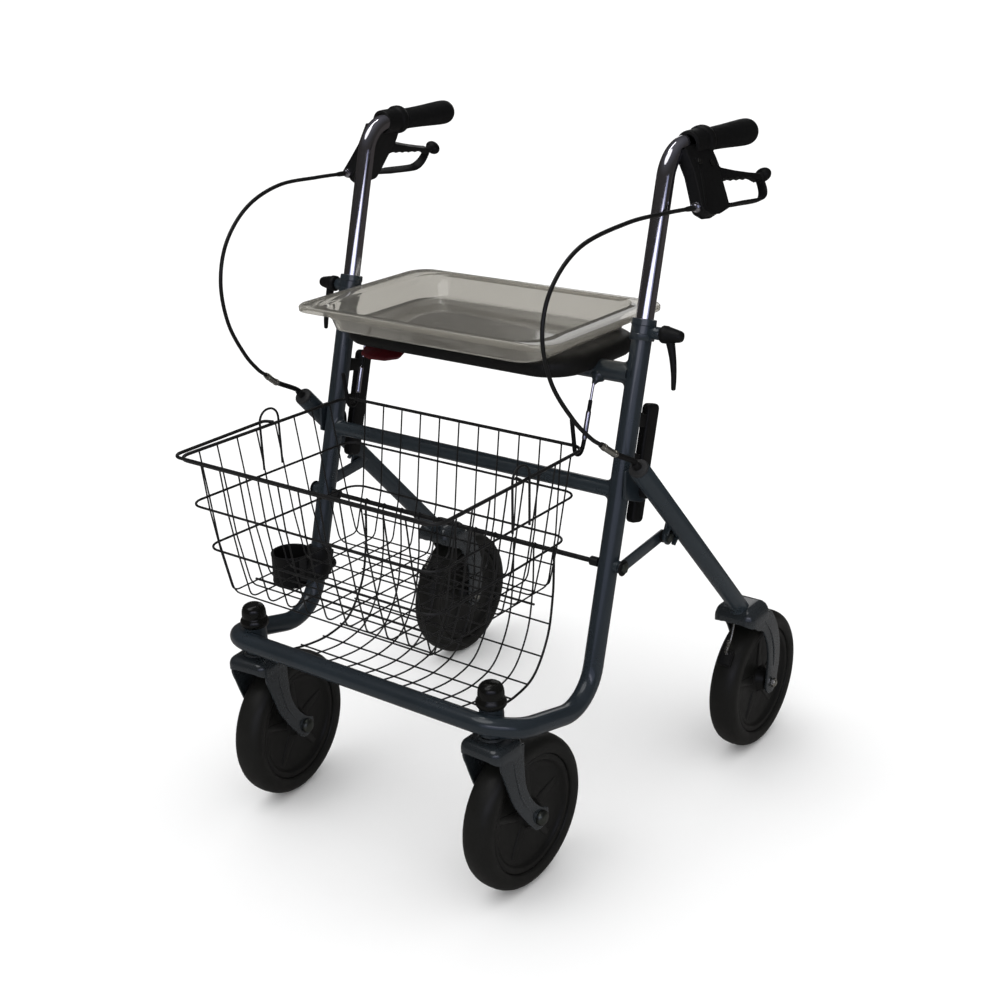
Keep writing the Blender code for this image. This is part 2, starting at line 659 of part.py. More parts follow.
BAIL_Y, BAIL_X = -0.2000, 0.2040
bail_path = fillet([(-BAIL_X, BAIL_Y + 0.006, RIM_Z), (-BAIL_X, -0.3580, RIM_Z), (BAIL_X, -0.3580, RIM_Z),
                    (BAIL_X, BAIL_Y + 0.006, RIM_Z)], [0.016, 0.016], 4)
bail = sweep("bail", bail_path, WIRE_R, 8)
finish(bail, "basket_handle", WIRE, (0.0, BAIL_Y, RIM_Z))

# ================================================================ handles
grip_dir = (GRIP_B - GRIP_A).normalized()
handle_start = at_upright(0.5420)
handle_path = fillet([handle_start, GRIP_A, GRIP_B - grip_dir * 0.008], [0.045], 7)
handle_tube = sweep("handle_tube", handle_path, HANDLE_R, 14, HANDLE_BORE_R)
handle_clear = sweep("handle_clear", handle_path, HANDLE_R + FIT, 14)
HANDLE_ORIGIN = at_upright(0.66)
finish(handle_tube, "handle_tube_R", CHROME, HANDLE_ORIGIN)

# grip: a sleeve with a rounded closed end, pushed over the tube
grip_len = 0.107
grip_start = GRIP_B - grip_dir * (grip_len - 0.002)
grip = turned("grip", [(HANDLE_R + FIT, 0.0), (0.0138, 0.0), (0.0140, 0.0200), (0.0148, 0.0500),
                       (0.0162, 0.0820), (0.0164, 0.0900), (0.0158, 0.0990), (0.0120, 0.1058), (0.0, grip_len),
                       (0.0, grip_len - 0.0090), (HANDLE_R + FIT, grip_len - 0.0090)],
              grip_start, grip_dir, 14)
finish(grip, "grip_R", RUBBER, HANDLE_ORIGIN)

# brake housing: hangs from a ring on the tube, leaning out by HOUSING_TILT
O = Vector((0.2370, 0.1150, 0.8682))
D = Vector((math.sin(HOUSING_TILT), 0.0, -math.cos(HOUSING_TILT)))   # down the housing
N = Vector((math.cos(HOUSING_TILT), 0.0, math.sin(HOUSING_TILT)))    # across it, outboard
Y = Vector((0.0, 1.0, 0.0))
HOUSE = rounded([(0.009, 0.010), (0.0105, 0.030), (0.0045, 0.056), (0.0010, 0.074), (-0.0030, 0.087),
                 (-0.0450, 0.0890), (-0.0610, 0.0790), (-0.0540, 0.064), (-0.0440, 0.040), (-0.0400, 0.010)],
                [0.0, 0.006, 0.010, 0.006, 0.006, 0.006, 0.006, 0.010, 0.010, 0.0], 2)
LEVER_PIVOT = O + Y * -0.0035 + D * 0.0300
housing = slab("housing", HOUSE, -0.0086, 0.0086, O, Y, D, N)
union(housing, rod("collar", O - Y * 0.0225, O + Y * 0.0060, 0.0155, 16),
      rod("ring", O + Y * 0.0030, O + Y * 0.0155, 0.0184, 16))
cut(housing, handle_clear)
SLOT = [(-0.0160, 0.0200), (0.0400, 0.0200), (0.0400, 0.0960), (-0.0160, 0.0960)]
cut(housing, slab("slot", SLOT, -0.0058, 0.0058, O, Y, D, N))
union(housing, rod("pin", LEVER_PIVOT - N * 0.0080, LEVER_PIVOT + N * 0.0080, 0.0030, 12))
adj = O + Y * -0.058 + D * 0.0735
union(housing, rod("adjuster", adj + Y * 0.012, adj - Y * 0.0120, 0.0056, 12))
finish(housing, "brake_housing_R", BLACK, HANDLE_ORIGIN)

# brake lever: a closed loop with a ball at its end
LEVER_OUT = rounded([(-0.0130, 0.0240), (0.0040, 0.0225), (0.0210, 0.0370), (0.0500, 0.0450),
                     (0.0910, 0.0555), (0.1080, 0.0580), (0.1120, 0.0720), (0.1110, 0.0820),
                     (0.1000, 0.0900), (0.0500, 0.0890), (-0.0040, 0.0845), (-0.0110, 0.0720)],
                    [0.004, 0.004, 0.0, 0.0, 0.0, 0.003, 0.0, 0.004, 0.006, 0.0, 0.004, 0.004], 2)
LEVER_IN = rounded([(0.0090, 0.0500), (0.0420, 0.0550), (0.0740, 0.0590), (0.0800, 0.0655), (0.0900, 0.0670),
                    (0.0930, 0.0740), (0.0900, 0.0830), (0.0800, 0.0862), (0.0120, 0.0815), (0.0060, 0.0720)],
                   [0.003, 0.0, 0.003, 0.003, 0.003, 0.0, 0.004, 0.0, 0.003, 0.003], 2)
brake_lever = slab("brake_lever", LEVER_OUT, -0.0053, 0.0053, O, Y, D, N)
cut(brake_lever, slab("window", LEVER_IN, -0.02, 0.02, O, Y, D, N),
    rod("pin_hole", LEVER_PIVOT - N * 0.02, LEVER_PIVOT + N * 0.02, 0.0034, 12))
union(brake_lever, rod("neck", O + Y * 0.1030 + D * 0.0640, O + Y * 0.1170 + D * 0.0600, 0.0045, 10),
      ball("ball", O + Y * 0.1185 + D * 0.0600, 0.0086, 12, 6))
finish(brake_lever, "brake_lever_R", BLACK, LEVER_PIVOT)

mirror_x = lambda p: Vector((-p[0], p[1], p[2]))
handle_tube_L = mirrored(handle_tube, "handle_tube_L", mirror_x(HANDLE_ORIGIN))
grip_L = mirrored(grip, "grip_L", mirror_x(HANDLE_ORIGIN))
housing_L = mirrored(housing, "brake_housing_L", mirror_x(HANDLE_ORIGIN))
brake_lever_L = mirrored(brake_lever, "brake_lever_L", mirror_x(LEVER_PIVOT))

# ================================================================ rear legs
leg_top = Vector((LEG_X, leg_y(LEG_TOP_Z), LEG_TOP_Z))
leg_low = Vector((LEG_X, leg_y(0.2150), 0.2150))
CROWN_TOP = 0.2285
leg = rod("leg", leg_top, leg_low, TUBE_R, 16)
cut(leg, block("trim", (0.22, 0.10, 0.10), (0.32, 0.35, CROWN_TOP + FIT)),
    rod("bore", leg_top - LEG_DIR * 0.02, leg_top + LEG_DIR * 0.060, 0.0105, 12),
    rod("pivot_bore", (0.2500, LEG_PIVOT.y, LEG_PIVOT.z), (0.2705, LEG_PIVOT.y, LEG_PIVOT.z), 0.0053, 12))
lug_out = Vector((0.0, LEG_DIR.z, -LEG_DIR.y))   # square to the leg, away from it
lug = slab("lug", rounded([(-0.017, -0.0145), (0.017, -0.0145), (0.009, 0.0085), (-0.009, 0.0085)],
                          [0.0, 0.0, 0.007, 0.007], 3),
           0.2565, 0.2603, STRUT_C, LEG_DIR, lug_out, (1, 0, 0))
union(leg, lug)
LEG_ORIGIN = (LEG_X, LEG_PIVOT.y, LEG_PIVOT.z)
finish(leg, "rear_leg_R", SLATE, LEG_ORIGIN)

# plug in the top of the leg, with the sleeve that the brake cable runs into
CABLE_END = Vector((0.2632, -0.1365, 0.5660))
CABLE_DIR = Vector((0.152, 0.795, -0.587)).normalized()
plug = rod("plug", leg_top - LEG_DIR * 0.0040, leg_top - LEG_DIR * FIT, TUBE_R - 0.0004, 16)
union(plug, rod("stub", leg_top - LEG_DIR * 0.002, leg_top + LEG_DIR * 0.012, 0.0102, 12),
      sweep("sleeve", smooth([tuple(CABLE_END), tuple(CABLE_END + CABLE_DIR * 0.028),
                              tuple(leg_top - LEG_DIR * 0.018), tuple(leg_top - LEG_DIR * 0.001)], 9), 0.0036, 10))
finish(plug, "leg_cap_R", BLACK, LEG_ORIGIN)


def fork(name, centre, stem):
    """A pressed fork: a crown with rounded shoulders, two arms that sweep back to
    the axle and a front web with an arched edge. The arms trail towards +Y."""
    cx, cy = centre
    trail = TRAIL if stem else REAR_TRAIL
    if stem:
        front_edge = smooth([(0, -0.0275, 0.2240), (0, -0.0262, 0.2070), (0, -0.0215, 0.1880),
                             (0, -0.0135, 0.1680), (0, -0.0020, 0.1440), (0, 0.0160, 0.1200),
                             (0, 0.0390, 0.0925)], 9)
        back_edge = smooth([(0, 0.0700, 0.1020), (0, 0.0520, 0.1165), (0, 0.0360, 0.1370),
                            (0, 0.0280, 0.1580), (0, 0.0270, 0.1800), (0, 0.0250, 0.2240)], 9)
    else:
        front_edge = smooth([(0, -0.0320, 0.2240), (0, -0.0215, 0.2085), (0, -0.0020, 0.1950),
                             (0, 0.0125, 0.1790), (0, 0.0205, 0.1600), (0, 0.0235, 0.1380),
                             (0, 0.0225, 0.0950)], 9)
        back_edge = smooth([(0, 0.0535, 0.1020), (0, 0.0575, 0.1250), (0, 0.0570, 0.1500),
                            (0, 0.0525, 0.1720), (0, 0.0430, 0.1960), (0, 0.0250, 0.2240)], 9)
    end_arc = [(0, trail + 0.0165 * math.cos(a), WHEEL_R + 0.0165 * math.sin(a))
               for a in [math.radians(d) for d in (235, 265, 295, 325)]]
    front = -0.0290 if stem else -0.0340
    outline = [(p.y + cy, p.z) for p in front_edge]
    outline += [(p[1] + cy, p[2]) for p in end_arc]
    outline += [(p.y + cy, p.z) for p in back_edge]
    body = slab(name, box_outline(-0.0285, 0.0285, front, 0.0250, 0.010, 3), 0.2225, CROWN_TOP,
                (cx, cy, 0), (1, 0, 0), (0, 1, 0), (0, 0, 1))
    for s in (1, -1):
        union(body, side_slab("arm", outline, *sorted((cx + s * 0.0247, cx + s * 0.0283))))
    arch = [(-0.0260, 0.2255), (0.0260, 0.2255), (0.0260, 0.2010), (0.0200, 0.2060),
            (0.0080, 0.2090), (-0.0080, 0.2090), (-0.0200, 0.2060), (-0.0260, 0.2010)]
    union(body, slab("web", arch, front + 0.0010, front + 0.0040, (cx, cy, 0), (1, 0, 0), (0, 0, 1), (0, 1, 0)))
    for s in (1, -1):
        cut(body, rod("axle_hole", (cx + s * 0.020, cy + trail, WHEEL_R), (cx + s * 0.035, cy + trail, WHEEL_R),
                      0.0047, 10))
    if stem:
        union(body, rod("seatring", (cx, cy, 0.2270), (cx, cy, 0.2296), 0.0130, 16),
              rod("stem", (cx, cy, 0.2250), (cx, cy, 0.2745), 0.0060, 12),
              rod("nut", (cx, cy, 0.2650), (cx, cy, 0.2725), 0.0092, 6))
    return body


rear_fork = fork("rear_fork", (REAR_X, REAR_Y - REAR_TRAIL), False)
finish(rear_fork, "rear_fork_R", SLATE, LEG_ORIGIN)

# strut between upright and leg; its end at the leg is open when the legs fold
B, C = STRUT_B, STRUT_C
run = (C - B).normalized()
cross = Vector((0, -run.z, run.y))
length = (C - B).length
ends = []
for k in range(9):
    a = math.radians(-90 + 180 * k / 8)
    ends.append((length + 0.0078 * math.cos(a), 0.0078 * math.sin(a)))
for k in range(9):
    a = math.radians(90 + 180 * k / 8)
    ends.append((0.0078 * math.cos(a), 0.0078 * math.sin(a)))
strut = slab("strut", ends, 0.2479, 0.2516, B, run, cross, (1, 0, 0))
union(strut, rod("bolt_b", (0.2510, B.y, B.z), (0.2552, B.y, B.z), 0.0066, 6),
      rod("spacer_c", (0.2510, C.y, C.z), (0.2545, C.y, C.z), 0.0075, 12),
      rod("bolt_c", (0.2540, C.y, C.z), (0.2558, C.y, C.z), 0.0052, 6))
STRUT_ORIGIN = (0.2497, B.y, B.z)
finish(strut, "strut_R", SLATE, STRUT_ORIGIN)

# ================================================================ wheels
FACETS = 24
FLAT = 1.0 / math.cos(math.pi / FACETS)   # facets, not corners, lie on the true radius


def tyre_at(name, x, y):
    w = TYRE_HALF_W
    profile = [(TYRE_IN_R, -0.0165), (0.0825, -w), (0.0895, -w + 0.0010), (0.0960, -0.0140), (0.1000, -0.0060),
               (0.1000, 0.0060), (0.0960, 0.0140), (0.0895, w - 0.0010), (0.0825, w), (TYRE_IN_R, 0.0165)]
    return turned(name, [(r * FLAT, h) for r, h in profile], (x, y, WHEEL_R), (1, 0, 0), FACETS)


def rim_at(name, x, y):
    profile = [(0.0052, -0.0232), (0.0150, -0.0232), (0.0170, -0.0120), (0.0210, -0.0080), (0.0640, -0.0090),
               (0.0670, -0.0150), (RIM_R, -0.0155),
               (RIM_R, 0.0155), (0.0670, 0.0150), (0.0640, 0.0090), (0.0210, 0.0080), (0.0170, 0.0120),
               (0.0150, 0.0232), (0.0052, 0.0232)]
    return turned(name, profile, (x, y, WHEEL_R), (1, 0, 0), FACETS)


def axle_at(name, x, y):
    return turned(name, [(0.0, -0.0362), (0.0055, -0.0355), (0.0072, -0.0330), (0.0072, -0.0287), (0.0044, -0.0287),
                         (0.0044, 0.0287), (0.0072, 0.0287), (0.0072, 0.0330), (0.0055, 0.0355), (0.0, 0.0362)],
                  (x, y, WHEEL_R), (1, 0, 0), 10)


wheels = {}
for tag, s, swivel in (("R", 1, SWIVEL_R), ("L", -1, SWIVEL_L)):
    stem = (s * STEM_X, STEM_Y, 0.0)
    pieces = {
        f"front_fork_{tag}": (fork("f", (s * STEM_X, STEM_Y), True), SLATE),
        f"front_tyre_{tag}": (tyre_at("t", s * STEM_X, STEM_Y + TRAIL), RUBBER),
        f"front_rim_{tag}": (rim_at("r", s * STEM_X, STEM_Y + TRAIL), BLACK),
        f"front_axle_bolt_{tag}": (axle_at("a", s * STEM_X, STEM_Y + TRAIL), ZINC),
    }
    # a positive swivel carries the axle towards +X
    psi = math.radians(swivel)
    hub = Vector((s * STEM_X + TRAIL * math.sin(psi), STEM_Y + TRAIL * math.cos(psi), WHEEL_R))
    for name, (obj, look) in pieces.items():
        turn(obj, stem, "Z", -swivel)
        finish(obj, name, look, (*stem[:2], CROWN_TOP) if "fork" in name else hub)
        wheels[name] = obj
    hub = Vector((s * REAR_X, REAR_Y, WHEEL_R))
    for name, (obj, look) in {
        f"rear_tyre_{tag}": (tyre_at("t", s * REAR_X, REAR_Y), RUBBER),
        f"rear_rim_{tag}": (rim_at("r", s * REAR_X, REAR_Y), BLACK),
        f"rear_axle_bolt_{tag}": (axle_at("a", s * REAR_X, REAR_Y), ZINC),
    }.items():
        finish(obj, name, look, hub)
        wheels[name] = obj

# brake shoe: a bent rod below the fork crown with a block in front of the tyre
SHOE_PIVOT = Vector((REAR_X, 0.1990, 0.2140))
shoe_dir = Vector((0.0, -math.cos(math.radians(38)), math.sin(math.radians(38))))   # hub to shoe
shoe_mid = Vector((REAR_X, REAR_Y, WHEEL_R)) + shoe_dir * (WHEEL_R + 0.0065)
tangent = Vector((0.0, math.sin(math.radians(38)), math.cos(math.radians(38))))
shoe = slab("shoe", [(-0.011, -0.0035), (0.011, -0.0035), (0.011, 0.0040), (-0.011, 0.0040)],
            -0.0090, 0.0090, shoe_mid, tangent, shoe_dir, (1, 0, 0))
union(shoe, sweep("shoe_rod", smooth([tuple(SHOE_PIVOT), (REAR_X, 0.1930, 0.1960),
                                      tuple(shoe_mid + shoe_dir * 0.002 + tangent * 0.004)], 6), 0.0024, 8),
      rod("shoe_pin", (REAR_X - 0.012, SHOE_PIVOT.y, SHOE_PIVOT.z),
          (REAR_X + 0.012, SHOE_PIVOT.y, SHOE_PIVOT.z), 0.0034, 10))
finish(shoe, "brake_shoe_R", ZINC, SHOE_PIVOT)

leg_L = mirrored(leg, "rear_leg_L", mirror_x(LEG_ORIGIN))
plug_L = mirrored(plug, "leg_cap_L", mirror_x(LEG_ORIGIN))
rear_fork_L = mirrored(rear_fork, "rear_fork_L", mirror_x(LEG_ORIGIN))
strut_L = mirrored(strut, "strut_L", mirror_x(STRUT_ORIGIN))
shoe_L = mirrored(shoe, "brake_shoe_L", mirror_x(SHOE_PIVOT))

# ================================================================ brake cables
# One bowed cable on each side, from the adjuster on the housing forward, down and
# back to the sleeve in the top of the leg: 0.58 m.
cable_start = adj - Y * (0.0120 + FIT)
ROUTE = [tuple(cable_start), (0.2680, -0.0100, 0.8060), (0.2640, -0.0840, 0.8070), (0.2500, -0.1560, 0.7920),
         (0.2440, -0.2020, 0.7560), (0.2430, -0.2190, 0.7080), (0.2470, -0.2090, 0.6540),
         (0.2545, -0.1790, 0.6060), tuple(CABLE_END - CABLE_DIR * 0.020)]
CABLE_DIAMETER = 0.0050
for tag, s in (("R", 1), ("L", -1)):
    route = smooth(ROUTE + [tuple(CABLE_END - CABLE_DIR * 2 * FIT)], 36)
    curve = bpy.data.curves.new(f"brake_cable_{tag}", "CURVE")
    curve.dimensions = "3D"
    curve.bevel_depth = CABLE_DIAMETER / 2
    curve.bevel_resolution = 2
    curve.use_fill_caps = True
    spline = curve.splines.new("POLY")
    spline.points.add(len(route) - 1)
    for point, p in zip(spline.points, route):
        point.co = (s * p.x, p.y, p.z, 1.0)
    cable = bpy.data.objects.new(f"brake_cable_{tag}", curve)
    mat = material(f"cable_{tag}", (0.015, 0.015, 0.015), 0.45)
    curve.materials.append(mat)
    bpy.context.scene.collection.objects.link(cable)

# ================================================================ joint axes
# Each empty stands on a joint's axis and carries what that joint moves.
find = bpy.data.objects.get
for tag, s in (("R", 1), ("L", -1)):
    column = empty(f"axis_handle_{tag}", (s * HALF_X, HANDLE_ORIGIN.y, HANDLE_ORIGIN.z))
    adopt(column, find(f"handle_tube_{tag}"), find(f"grip_{tag}"), find(f"brake_housing_{tag}"),
          find(f"brake_lever_{tag}"))
    caster = empty(f"axis_caster_{tag}", (s * STEM_X, STEM_Y, CROWN_TOP))
    adopt(caster, find(f"front_fork_{tag}"), find(f"front_axle_bolt_{tag}"),
          find(f"front_tyre_{tag}"), find(f"front_rim_{tag}"))
    fold = empty(f"axis_leg_{tag}", (s * LEG_X, LEG_PIVOT.y, LEG_PIVOT.z))
    adopt(fold, find(f"rear_leg_{tag}"), find(f"rear_fork_{tag}"), find(f"leg_cap_{tag}"),
          find(f"rear_axle_bolt_{tag}"), find(f"rear_tyre_{tag}"), find(f"rear_rim_{tag}"),
          find(f"brake_shoe_{tag}"))
tilt = empty("axis_seat", SEAT_AXIS)
adopt(tilt, find("seat"), find("red_release_lever"), find("tray"))
swing = empty("axis_basket_handle", (0.0, BAIL_Y, RIM_Z))
adopt(swing, find("basket_handle"))
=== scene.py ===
"""Looks of the rollator: finishes, wires, moulded details, camera, floor and light.
Metres, in the frame of the model: +Z up, -Y the travel direction, floor at z = 0.
"""

import math

import bmesh
import bpy
from mathutils import Matrix, Vector


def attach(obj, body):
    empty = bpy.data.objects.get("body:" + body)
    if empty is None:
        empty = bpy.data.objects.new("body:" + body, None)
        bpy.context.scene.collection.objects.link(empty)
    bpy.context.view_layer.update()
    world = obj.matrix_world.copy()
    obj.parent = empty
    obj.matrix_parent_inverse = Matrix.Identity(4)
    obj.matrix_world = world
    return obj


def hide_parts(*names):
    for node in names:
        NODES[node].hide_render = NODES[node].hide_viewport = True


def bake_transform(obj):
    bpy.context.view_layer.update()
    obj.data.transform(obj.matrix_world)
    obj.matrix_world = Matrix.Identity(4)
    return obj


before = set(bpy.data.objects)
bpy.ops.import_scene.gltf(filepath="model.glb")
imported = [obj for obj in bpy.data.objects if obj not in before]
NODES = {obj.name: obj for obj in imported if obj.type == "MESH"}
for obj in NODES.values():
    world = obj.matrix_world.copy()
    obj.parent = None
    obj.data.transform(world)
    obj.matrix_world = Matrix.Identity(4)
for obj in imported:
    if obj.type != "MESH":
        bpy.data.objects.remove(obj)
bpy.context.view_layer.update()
scene = bpy.context.scene
SIDES = (("R", 1.0), ("L", -1.0))

# ================================================================ camera
AZ, EL, ROLL = math.radians(37.01), math.radians(21.11), math.radians(-1.45)
back = Vector((math.sin(AZ) * math.cos(EL), -math.cos(AZ) * math.cos(EL), math.sin(EL)))
right0 = Vector((math.cos(AZ), math.sin(AZ), 0.0))
up0 = back.cross(right0)
right = right0 * math.cos(ROLL) + up0 * math.sin(ROLL)
up = -right0 * math.sin(ROLL) + up0 * math.cos(ROLL)
cam_data = bpy.data.cameras.new("camera")
cam_data.sensor_width = 36.0
cam_data.lens = 1494.0 / 1000.0 * 36.0
cam_data.clip_end = 400.0
cam = bpy.data.objects.new("camera", cam_data)
cam.matrix_world = Matrix((
    (right.x, up.x, back.x, 1.1275), (right.y, up.y, back.y, -1.4736),
    (right.z, up.z, back.z, 1.1156), (0, 0, 0, 1)))
scene.collection.objects.link(cam)
scene.camera = cam

# ================================================================ dimensions
TUBE_R, HANDLE_R, CROSS_R = 0.0125, 0.0110, 0.0100
HALF_X, SLOPE = 0.2313, 0.2709
LEAN = math.atan(SLOPE)
UP = Vector((0.0, math.sin(LEAN), math.cos(LEAN)))
ACROSS = Vector((0.0, math.cos(LEAN), -math.sin(LEAN)))
X, Y, Z = Vector((1, 0, 0)), Vector((0, 1, 0)), Vector((0, 0, 1))
BASE_Z, LOW_Z, BASE_Y = 0.2500, 0.2077, -0.2800
WHEEL_R, TRAIL, REAR_TRAIL = 0.1000, 0.0540, 0.0360
STEM_X, STEM_Y = 0.1927, -0.2603
SWIVEL = {"R": 1.7, "L": -6.5}
REAR_X, REAR_Y = 0.2655, 0.2605
LEG_X = 0.2688
LEG_PIVOT = Vector((0.0, -0.0196, 0.4700))
STRUT_B = Vector((0.0, -0.0699, 0.3875))
STRUT_C = Vector((0.0, 0.0240, 0.3970))
CROWN_TOP = 0.2285
RIM_Z = 0.5265
TILT = math.radians(27.5)
LEG_DIR = Vector((0.0, 0.9464, -1.0)).normalized()


def upright_y(z):
    return -0.0936 + SLOPE * (z - 0.3)


def leg_y(z):
    return 0.0466 + 0.9464 * (0.4 - z)


def at_upright(z, s=1.0):
    return Vector((s * HALF_X, upright_y(z), z))


# ================================================================ materials
def node(tree, kind, **values):
    n = tree.nodes.new(kind)
    for key, value in values.items():
        if key in n.inputs:
            n.inputs[key].default_value = value
        else:
            setattr(n, key, value)
    return n


def finish_of(name, colour, rough, metal=0.0, other=None, patch=30.0, rough_by=0.06,
              bump=0.0, grain=600.0, coat=0.0, coat_rough=0.05, spec=0.5, edge=0.0,
              edge_colour=None, stretch=None, clear=0.0, ior=1.5, sheen=0.0, bump2=0.0, grain2=60.0):
    """A Principled finish with colour patches, uneven gloss, grain and worn edges."""
    mat = bpy.data.materials.new(name)
    mat.use_nodes = True
    t = mat.node_tree
    b = t.nodes["Principled BSDF"]
    b.inputs["Metallic"].default_value = metal
    b.inputs["IOR"].default_value = ior
    b.inputs["Specular IOR Level"].default_value = spec
    b.inputs["Coat Weight"].default_value = coat
    b.inputs["Coat Roughness"].default_value = coat_rough
    b.inputs["Transmission Weight"].default_value = clear
    b.inputs["Sheen Weight"].default_value = sheen
    co = node(t, "ShaderNodeTexCoord")
    source = co.outputs["Object"]
    if stretch:
        m = node(t, "ShaderNodeMapping")
        m.inputs["Scale"].default_value = stretch
        t.links.new(source, m.inputs["Vector"])
        source = m.outputs["Vector"]
    patches = node(t, "ShaderNodeTexNoise", Scale=patch, Detail=4.0, Roughness=0.6)
    t.links.new(source, patches.inputs["Vector"])
    ramp = node(t, "ShaderNodeMapRange")
    ramp.inputs["From Min"].default_value = 0.3
    ramp.inputs["From Max"].default_value = 0.7
    t.links.new(patches.outputs["Fac"], ramp.inputs["Value"])
    mix = node(t, "ShaderNodeMix", data_type="RGBA")
    mix.inputs["A"].default_value = (*colour, 1)
    mix.inputs["B"].default_value = (*(other or [c * 0.72 for c in colour]), 1)
    mix.inputs[6].default_value = (*colour, 1)
    mix.inputs[7].default_value = (*(other or [c * 0.72 for c in colour]), 1)
    t.links.new(ramp.outputs["Result"], mix.inputs["Factor"])
    colour_out = mix.outputs[2]
    if edge > 0:
        geo = node(t, "ShaderNodeNewGeometry")
        worn = node(t, "ShaderNodeMapRange")
        worn.inputs["From Min"].default_value = 0.54
        worn.inputs["From Max"].default_value = 0.64
        worn.inputs["To Max"].default_value = edge
        t.links.new(geo.outputs["Pointiness"], worn.inputs["Value"])
        mix2 = node(t, "ShaderNodeMix", data_type="RGBA")
        mix2.inputs[7].default_value = (*(edge_colour or [min(1, c * 2.2 + 0.02) for c in colour]), 1)
        t.links.new(worn.outputs["Result"], mix2.inputs["Factor"])
        t.links.new(colour_out, mix2.inputs[6])
        colour_out = mix2.outputs[2]
    t.links.new(colour_out, b.inputs["Base Color"])
    smear = node(t, "ShaderNodeTexNoise", Scale=patch * 2.3, Detail=5.0, Roughness=0.65)
    t.links.new(source, smear.inputs["Vector"])
    gloss = node(t, "ShaderNodeMapRange")
    gloss.inputs["From Min"].default_value = 0.3
    gloss.inputs["From Max"].default_value = 0.7
    gloss.inputs["To Min"].default_value = max(0.02, rough - rough_by)
    gloss.inputs["To Max"].default_value = rough + rough_by
    t.links.new(smear.outputs["Fac"], gloss.inputs["Value"])
    t.links.new(gloss.outputs["Result"], b.inputs["Roughness"])
    normal = None
    if bump2 > 0:
        wave = node(t, "ShaderNodeTexNoise", Scale=grain2, Detail=2.0)
        t.links.new(source, wave.inputs["Vector"])
        n2 = node(t, "ShaderNodeBump", Strength=bump2, Distance=0.002)
        t.links.new(wave.outputs["Fac"], n2.inputs["Height"])
        normal = n2.outputs["Normal"]
    if bump > 0:
        fine = node(t, "ShaderNodeTexNoise", Scale=grain, Detail=3.0, Roughness=0.6)
        t.links.new(source, fine.inputs["Vector"])
        n1 = node(t, "ShaderNodeBump", Strength=bump, Distance=0.0006)
        t.links.new(fine.outputs["Fac"], n1.inputs["Height"])
        if normal is not None:
            t.links.new(normal, n1.inputs["Normal"])
        normal = n1.outputs["Normal"]
    if normal is not None:
        t.links.new(normal, b.inputs["Normal"])
    return mat


def cells_of(mat, scale, strength, distance):
    """Adds a leather-like cell grain to a finish."""
    t = mat.node_tree
    b = t.nodes["Principled BSDF"]
    co = node(t, "ShaderNodeTexCoord")
    v = node(t, "ShaderNodeTexVoronoi", Scale=scale)
    v.feature = "SMOOTH_F1"
    t.links.new(co.outputs["Object"], v.inputs["Vector"])
    n = node(t, "ShaderNodeBump", Strength=strength, Distance=distance)
    n.invert = True
    t.links.new(v.outputs["Distance"], n.inputs["Height"])
    old = b.inputs["Normal"].links[0].from_socket if b.inputs["Normal"].is_linked else None
    if old is not None:
        t.links.new(old, n.inputs["Normal"])
    t.links.new(n.outputs["Normal"], b.inputs["Normal"])
    return mat


PAINT = finish_of("slate_paint_look", (0.0175, 0.0250, 0.0325), 0.30, 0.20, other=(0.0140, 0.0200, 0.0260),
                  patch=9.0, rough_by=0.05, bump=0.10, grain=420.0, coat=0.7, coat_rough=0.07,
                  edge=0.30, edge_colour=(0.05, 0.065, 0.075), bump2=0.03, grain2=45.0)
FORK_PAINT = finish_of("fork_paint_look", (0.0185, 0.0225, 0.0265), 0.26, 0.20, other=(0.0145, 0.0180, 0.0210),
                       patch=14.0, rough_by=0.06, bump=0.10, grain=420.0, coat=0.8, coat_rough=0.06,
                       edge=0.40, edge_colour=(0.06, 0.065, 0.07), bump2=0.05, grain2=60.0)
CHROME = finish_of("chrome_look", (0.70, 0.69, 0.74), 0.075, 1.0, other=(0.64, 0.63, 0.69), patch=18.0,
                   rough_by=0.035, bump=0.02, grain=900.0, bump2=0.015, grain2=30.0)
BLACK = finish_of("moulded_black_look", (0.0040, 0.0040, 0.0042), 0.48, patch=25.0, rough_by=0.08,
                  bump=0.22, grain=1400.0, edge=0.4, edge_colour=(0.018, 0.018, 0.019), spec=0.28)
GLOSS_BLACK = finish_of("gloss_black_look", (0.0045, 0.0045, 0.0040), 0.20, patch=25.0, rough_by=0.06,
                        bump=0.05, grain=900.0, edge=0.3, edge_colour=(0.025, 0.025, 0.024), spec=0.40)
GREY = finish_of("grey_plastic_look", (0.020, 0.020, 0.021), 0.50, patch=40.0, rough_by=0.07, bump=0.15,
                 grain=1200.0, edge=0.3, edge_colour=(0.05, 0.05, 0.052), spec=0.30)
GRIP = finish_of("grip_look", (0.0042, 0.0042, 0.0045), 0.62, patch=35.0, rough_by=0.08, bump=0.45,
                 grain=1100.0, edge=0.3, spec=0.25)
TYRE = finish_of("tyre_look", (0.0068, 0.0068, 0.0060), 0.42, patch=22.0, rough_by=0.09, bump=0.20,
                 grain=800.0, other=(0.0095, 0.0095, 0.0085), spec=0.28, bump2=0.04, grain2=40.0)
RIM = finish_of("wheel_core_look", (0.0080, 0.0080, 0.0072), 0.38, patch=30.0, rough_by=0.07, bump=0.18,
                grain=1100.0, edge=0.4, edge_colour=(0.022, 0.022, 0.021), spec=0.28)
SEAT = cells_of(finish_of("seat_look", (0.0050, 0.0050, 0.0046), 0.46, patch=20.0, rough_by=0.07,
                          other=(0.0070, 0.0068, 0.0062), edge=0.25, spec=0.25), 520.0, 0.35, 0.0008)
